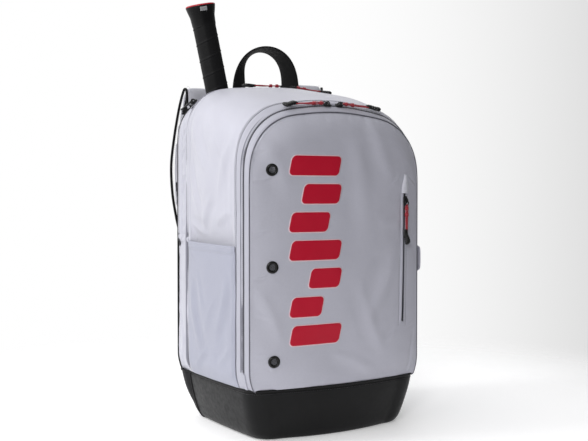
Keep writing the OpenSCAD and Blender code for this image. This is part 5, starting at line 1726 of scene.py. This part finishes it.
rim = inset(fr, 0, BASE - 0.2)
Nr = B[0] - B[0].mean(0)
rim_n = grid_normals(B, ref)[0]
rim_n[:, 2] = 0
rim_n /= np.linalg.norm(rim_n, axis=1, keepdims=True)
V, F, uv = sweep(rim + rim_n * 0.4, 1.0, sect=rounded(2.2, 3.4, 1.0, 5), ref=(0, 0, 1))
s.add(V, F, 0, uv)
for k, pth in enumerate((B[3],)):
    stitches(s, pth, N[3], 3.2, 2.3, 0.32, 0.0, 1)
s.make("base_boot_rim_binding", "shell", (web_m, thread_bk), slot="boot")

rr_ = [(-float(hwb(98)), 98), (-156 * KX, 118), (-153 * KX, 131), (-146 * KX, 138), (-130 * KX, 140), (-65 * KX, 140.5), (0, 140.5)]
rr_ = smooth_ring(np.array(rr_ + [(-a_, b_) for a_, b_ in rr_[:-1][::-1]]), 150, 3)
Rb = np.stack([inset(rr_, i + 0.3, z) for z, i in prof])
N = grid_normals(Rb, Rb - np.array([0, 110.0, 45.0]))
full = 5.0 * sstep(8, 60, Rb[..., 2]) * sstep(96, 112, Rb[..., 1])
Rb = Rb + N * (full + 0.6 * fbm(Rb[..., 0] / 60, Rb[..., 1] / 60, Rb[..., 2] / 50, 2))[..., None]
Rb[..., 2] = np.maximum(Rb[..., 2], 0)
foot = np.stack([np.linspace(-118 * KX, 118 * KX, 150), np.full(150, CUT), np.zeros(150)], 1)
Rb = np.concatenate([Rb, np.stack([Rb[-1] * (1 - f) + foot * f for f in (0.35, 0.7, 1.0)])])
Rb[-3:, :, 2] = 0
N = grid_normals(Rb, Rb - np.array([0, 110.0, 60.0]))
N[-3:] = (0, 0, -1.0)
V, F, fm, src = grid_shell(Rb, N, 2.4, 0.35)
new_obj("base_rear_mesh_cloth", V, F, "shell", (mesh_fine, lining), fm, grid_uv(Rb)[src], repl=("base_rear_fabric",), slot="black_mesh")
s = Soup()
for k in (0, -1):
    pth = B[:, k]
    V, F, uv = sweep(pth + np.array([0, 0.4, 0]), 1.0, sect=rounded(2.6, 2.4, 0.9, 5), ref=(0, 1, 0))
    s.add(V, F, 0, uv)
rimr = Rb[0] + N[0] * 0.4
V, F, uv = sweep(rimr, 1.0, sect=rounded(2.2, 3.2, 1.0, 5), ref=(0, 0, 1))
s.add(V, F, 0, uv)
s.make("base_rear_binding", "shell", (web_m, thread_bk), slot="boot")

# ------------------------------------------------------------------ back panel, pads, yoke
cb = cols(0.0, 5.0, 3.0)
ob_ = outl(136, 1.0, cb)


def disc_grid(outline, n=40):
    """Grid over an outline in XZ that is star-shaped about a vertical core line."""
    o = np.asarray(outline, float)
    c = o.mean(0)
    core = o.copy()
    core[:, 0] = 0
    core[:, 2] = np.clip(o[:, 2], 150, 430)
    f = np.linspace(0, 1, n)[:, None, None]
    return o[None] * (1 - f) + core[None] * f


Pb = disc_grid(np.concatenate([ob_, resample(np.array([ob_[-1], ob_[0]]), n=60)[1:-1]]), 46)
m = Pb.shape[1]
x_, z_ = Pb[..., 0], Pb[..., 2]
rim_d = np.linspace(0, 1, 46)[:, None] + 0 * x_
yb = 137.4 + 1.6 * np.sin(np.clip(rim_d * 9, 0, 1) * math.pi / 2) + 0.6 * fbm(x_ / 50, z_ / 50, 0.7, 2)
yb = yb - 0.8 * np.exp(-((np.abs(x_) - 12) / 2.0) ** 2) * (np.abs(z_ - 370) < 130)
Pb = np.stack([x_, yb, z_], -1)
V = np.concatenate([Pb.reshape(-1, 3), (Pb - np.array([0, 3.0, 0])).reshape(-1, 3)])
K = 46 * m
F = [(i * m + j, i * m + (j + 1) % m, (i + 1) * m + (j + 1) % m, (i + 1) * m + j) for i in range(45) for j in range(m)]
F = F + [tuple(k + K for k in f[::-1]) for f in F] + [(j, K + j, K + (j + 1) % m, (j + 1) % m) for j in range(m)] + [(45 * m + j, 45 * m + (j + 1) % m, K + 45 * m + (j + 1) % m, K + 45 * m + j) for j in range(m)]
fmb = [0] * (45 * m) + [1] * (45 * m) + [0] * (2 * m)
new_obj("back_panel_mesh", V, outward(V, F), "shell", (mesh_m, lining_u), fmb, repl=("back_panel",), slot="black_mesh")
# welt round the back panel
bw = outl(136.4, -0.9, cols(0.0, 5.0))
V, F, uv = sweep(bw, 1.5, 10, ref=(0, 1, 0))
Soup().add(V, F, 0, uv).make("back_panel_welt", "shell", (blackcloth,), slot="black_webbing")


def slab(cx, cz, w, h, r, y0, y1, n=7):
    q = rounded(w, h, r, 10)
    rings = []
    for t, g in ((0.0, -2.0), (0.12, 0.0), (0.5, 0.6), (0.8, -0.6), (0.95, -3.0), (1.0, -6.0)):
        k = np.stack([q[:, 0] * (w / 2 + g) / (w / 2), q[:, 1] * (h / 2 + g) / (h / 2)], 1)
        rings.append(np.stack([cx + k[:, 0], np.full(len(k), y0 + (y1 - y0) * t), cz + k[:, 1]], 1))
    return loft_rings(rings)


for side, nm in ((-1, "left"), (1, "right")):
    lo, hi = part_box("back_pads")
    V, F = slab(side * 74, 370, 98, 244, 24, lo.y * 1000 + 0.6, hi.y * 1000 - 2.2)

    def pick(p, side=side, y0=lo.y * 1000, y1=hi.y * 1000):
        out = p.copy()
        up = p[:, 1] > y0 + 4
        x = p[:, 0] - side * 74
        for zc_ in (308, 370, 432):
            out[:, 1] -= up * 2.2 * np.exp(-((p[:, 2] - zc_ - 0.10 * side * x) / 3.2) ** 2) * sstep(51, 42, np.abs(x))
        out[:, 1] = np.clip(out[:, 1], y0 + 0.2, y1 + 1.4)
        return out
    pb = inflate(V, F, "back_pad_" + nm, "shell", (mesh_m,), 4.0, 5.0, 4.0, pick, repl=("back_pads",), slot="black_mesh", fill=0.7)
lo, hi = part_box("lumbar_pad")
V, F = slab(0, 168, 228, 112, 27, lo.y * 1000 + 0.6, hi.y * 1000 - 2.4)


def pick(p, y0=lo.y * 1000, y1=hi.y * 1000):
    out = p.copy()
    up = p[:, 1] > y0 + 5
    for xc in (-62, 0, 62):
        out[:, 1] -= up * 2.2 * np.exp(-((p[:, 0] - xc) / 3.2) ** 2) * sstep(56, 46, np.abs(p[:, 2] - 168))
    out[:, 1] = np.clip(out[:, 1], y0 + 0.2, y1 + 1.4)
    return out


inflate(V, F, "lumbar_pad_cover", "shell", (mesh_m,), 4.0, 5.0, 4.0, pick, repl=("lumbar_pad",), slot="black_mesh", fill=0.7)

# yoke: stitched panel that the straps and haul loop are sewn to
A, Bq = np.meshgrid(np.linspace(-1, 1, 90), np.linspace(-1, 1, 18), indexing="ij")
lo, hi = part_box("strap_yoke")
Xy = A * 124
Zy = 516 + Bq * 18.5 + 1.5 * (1 - A**2)
corner = sstep(0.93, 1.0, np.abs(A))
Zy = 516 + (Zy - 516) * (1 - 0.25 * corner)
Yy = hi.y * 1000 - 0.8 - 1.4 * np.abs(Bq) ** 4 - 1.2 * corner + 0.3 * fbm(Xy / 30, Zy / 30, 0.1, 2)
P = np.stack([Xy, Yy, Zy], -1)
N = grid_normals(P, np.array([0, 1.0, 0]))
V, F, fm, src = grid_shell(P, N, 3.4)
s = Soup().add(V, F, 0, grid_uv(P)[src])
for bb in (2, -3):
    stitches(s, P[3:-3, bb], N[3:-3, bb], 3.2, 2.3, 0.32, 0.1, 1)
for aa2 in (-0.97, -0.7, 0.7, 0.97, -0.48, 0.48, -0.3, 0.3):
    ii = int((aa2 + 1) / 2 * 89)
    stitches(s, P[ii, 2:-2], N[ii, 2:-2], 3.0, 2.3, 0.32, 0.1, 1)
s.make("strap_yoke_panel", "shell", (blackcloth, thread_bk), repl=("strap_yoke",), slot="black_webbing")
# the straps' sewn ends under the yoke
for side, nm in ((-1, "left"), (1, "right")):
    n1, n2 = 20, 16
    A, Bq = np.meshgrid(np.linspace(-1, 1, n1), np.linspace(0, 1, n2), indexing="ij")
    X = side * 106 + A * (29 - 2 * Bq)
    Zt = 498 + 32 * Bq
    Yt = 141.2 + 0.8 * np.sin(Bq * math.pi / 2) + 9.0 * sstep(0.5, 1.0, Bq)
    P = np.stack([X, Yt + 3.2, Zt], -1)
    N = grid_normals(P, np.array([0, 1.0, 0]))
    V, F, fm, src = grid_shell(P, N, 3.0)
    o = new_obj("strap_root_" + nm, V, F, None, (strapf, mesh_m), fm, grid_uv(P)[src], slot="silver_fabric")
    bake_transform(o)

# ------------------------------------------------------------------ inside
def plate(name, body, poly, y0, y1, mats, repl, wave=0.6, blend=None, slot="lining"):
    """Soft flat panel from an XZ outline between depths y0 and y1."""
    o = resample(np.array(list(poly) + [poly[0]], float), n=220)[:-1]
    c = o.mean(0)
    m = len(o)
    half = 0.42 * (o[:, 1].max() - o[:, 1].min())
    core = np.stack([c[0] + 0.004 * (o[:, 0] - c[0]), np.clip(o[:, 1], c[1] - half, c[1] + half)], 1)
    f = np.linspace(0, 1, 30)[:, None, None]
    g = o[None] * (1 - f) + core[None] * f
    x, z = g[..., 0], g[..., 1]
    w = wave * fbm(x / 70, z / 70, y0, 2)
    e = np.clip(np.arange(30)[:, None] / 2.0, 0, 1)
    t = (y1 - y0) * (0.55 + 0.45 * e)
    ym = (y0 + y1) / 2 + w * e
    Pf, Pk = np.stack([x, ym - t / 2, z], -1), np.stack([x, ym + t / 2, z], -1)
    V = np.concatenate([Pf.reshape(-1, 3), Pk.reshape(-1, 3)])
    K = 30 * m
    F = [(i * m + j, i * m + (j + 1) % m, (i + 1) * m + (j + 1) % m, (i + 1) * m + j) for i in range(29) for j in range(m)]
    F = F + [tuple(k + K for k in q[::-1]) for q in F] + [(j, K + j, K + (j + 1) % m, (j + 1) % m) for j in range(m)] + [(29 * m + j, 29 * m + (j + 1) % m, K + 29 * m + (j + 1) % m, K + 29 * m + j) for j in range(m)]
    s = Soup().add(V, outward(V, F), 0)
    ob = s.make(name, body, mats, repl=repl, slot=slot)
    return ob


def out_poly(y, o, zlo, xlo):
    p = outl(y, o, cols(0.012, 4.988, 4.0))
    q = [(a, b) for a, _, b in p if b > zlo]
    return [(-xlo, zlo)] + q + [(xlo, zlo)]


pw = plate("front_pocket_rear_wall", None, out_poly(-83.6, 4.4, BASE + 2.0, 146 * KX), -84.6, -82.6, (lining_u,), ("pocket_wall",))
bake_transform(pw)
lo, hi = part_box("stash_pocket_bag")
plate("stash_pocket_pouch", "front_door", [(lo.x * 1000, lo.z * 1000), (lo.x * 1000, hi.z * 1000), (hi.x * 1000, hi.z * 1000), (hi.x * 1000, lo.z * 1000)], lo.y * 1000, hi.y * 1000, (lining_u,), ("stash_pocket_bag",), 0.4)
# laptop sleeve: an open pouch with an elastic top edge
n1, n2 = 70, 60
A, Bq = np.meshgrid(np.linspace(-1, 1, n1), np.linspace(0, 1, n2), indexing="ij")
X = 124 * np.sign(A) * np.minimum(np.abs(A) * 1.06, 1.0)
Y = 73.4 + 12.6 * sstep(0.93, 1.0, np.abs(A)) + 0.6 * fbm(X / 50, Bq * 5, 0.3, 2)
Z = 12 + Bq * 309 - 4 * (1 - A**2) * (Bq > 0.98)
P = np.stack([X, Y, Z], -1)
N = grid_normals(P, np.array([0, -1.0, 0]))
V, F, fm, src = grid_shell(P, N, 2.0)
s = Soup().add(V, F, 0, grid_uv(P)[src])
P2 = P[:, -5:] + N[:, -5:] * 0.8
V, F, fm, src = grid_shell(P2, N[:, -5:], 3.4)
s.add(V, F, 1, grid_uv(P2)[src])
s.make("laptop_sleeve_pouch", "shell", (lining, web_m), repl=("laptop_sleeve",), slot="lining")
lo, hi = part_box("racket_floor_pad")
V, F = slab(0, (lo.y + hi.y) * 500, (hi.x - lo.x) * 1000 - 1, (hi.y - lo.y) * 1000 - 1, 7, lo.z * 1000, hi.z * 1000)
V = np.stack([V[:, 0], V[:, 2], V[:, 1]], 1)
s = Soup().add(V, outward(V, F), 0)
fp = s.make("racket_floor_foam", "shell", (lining_u,), repl=("racket_floor_pad",), slot="lining")

# small sewn label loop in the right front seam, left plain
lp = np.array([(157.5, -104, 291), (161.5, -104.4, 289.5), (164.2, -104.6, 285), (164.8, -104.6, 270), (164.2, -104.6, 255), (161.5, -104.4, 250.5), (157.5, -104, 249)], float)
lp = resample(smooth_path(lp, 50), n=44)
V, F, uv = ribbon(lp, np.tile([0, 1.0, 0], (44, 1)), 9.0, 1.0)
lab = Soup().add(V, F, 0, uv).make("seam_loop_right", "front_door", (web_m,), slot="silver_fabric")
lab.data.materials[0] = silver

# the door's loose pieces have their placement baked into their meshes
for nm in ("front_pocket_panel", "front_door_band_cloth", "front_panel_piping", "front_zip_end_left", "front_zip_end_right", "front_door_band_stitching", "front_panel_stitching"):
    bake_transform(bpy.data.objects[nm])

# ------------------------------------------------------------------ floor and light
nf = 96
fa = np.arange(nf) * 2 * math.pi / nf
RF = 1.15
fmesh = bpy.data.meshes.new("floor")
fmesh.from_pydata([(RF * math.cos(a), RF * math.sin(a), 0) for a in fa], [], [tuple(range(nf))])
floor = bpy.data.objects.new("floor", fmesh)
sc.collection.objects.link(floor)
fm_ = Mat("floor_pale")
fm_.set(Base_Color=(0.90, 0.90, 0.91, 1), Roughness=0.6, Emission_Color=(1, 1, 1, 1), Emission_Strength=0.28)
fm_.b.inputs["Specular IOR Level"].default_value = 0.25
fr_ = fm_.n("VectorMath", {0: fm_.n("TexCoord").outputs["Object"]}, operation="LENGTH").outputs["Value"]
fade = fm_.n("MapRange", {"Value": fr_, "From Min": 0.42, "From Max": 1.08, "To Min": 1.0, "To Max": 0.0}, interpolation_type="SMOOTHSTEP").outputs[0]
fm_.set(Alpha=fade)
fmesh.materials.append(fm_.m)
floor.location.z = -0.0004

world = bpy.data.worlds.new("studio")
sc.world = world
world.use_nodes = True
wt = world.node_tree
bg = wt.nodes["Background"]
tcw = wt.nodes.new("ShaderNodeTexCoord")
dot = wt.nodes.new("ShaderNodeVectorMath")
dot.operation = "DOT_PRODUCT"
wt.links.new(tcw.outputs["Generated"], dot.inputs[0])
dk = Vector((-0.62, 0.78, 0.0)).normalized()
dot.inputs[1].default_value = dk
mr = wt.nodes.new("ShaderNodeMapRange")
mr.interpolation_type = "SMOOTHSTEP"
wt.links.new(dot.outputs["Value"], mr.inputs["Value"])
for k, v in (("From Min", -0.42), ("From Max", 0.34), ("To Min", 0.14), ("To Max", 1.0)):
    mr.inputs[k].default_value = v
wt.links.new(mr.outputs["Result"], bg.inputs["Strength"])
bg.inputs["Color"].default_value = (1.0, 1.0, 1.0, 1)


def area(name, loc, target, size, energy, color=(1, 1, 1)):
    ld = bpy.data.lights.new(name, "AREA")
    ld.shape = "RECTANGLE"
    ld.size, ld.size_y = size
    ld.energy = energy
    ld.color = color
    o = bpy.data.objects.new(name, ld)
    sc.collection.objects.link(o)
    o.location = loc
    o.rotation_mode = "QUATERNION"
    o.rotation_quaternion = (Vector(target) - Vector(loc)).to_track_quat("-Z", "Y")
    return o


area("key_left", (-1.7, 0.55, 1.75), (0, 0, 0.33), (0.5, 0.6), 15.0)
area("rake_front", (-1.5, -1.9, 1.5), (0, -0.1, 0.3), (0.5, 0.6), 21.0)
area("top_soft", (-0.3, -0.2, 2.2), (0, 0, 0.4), (1.4, 1.2), 6.0)
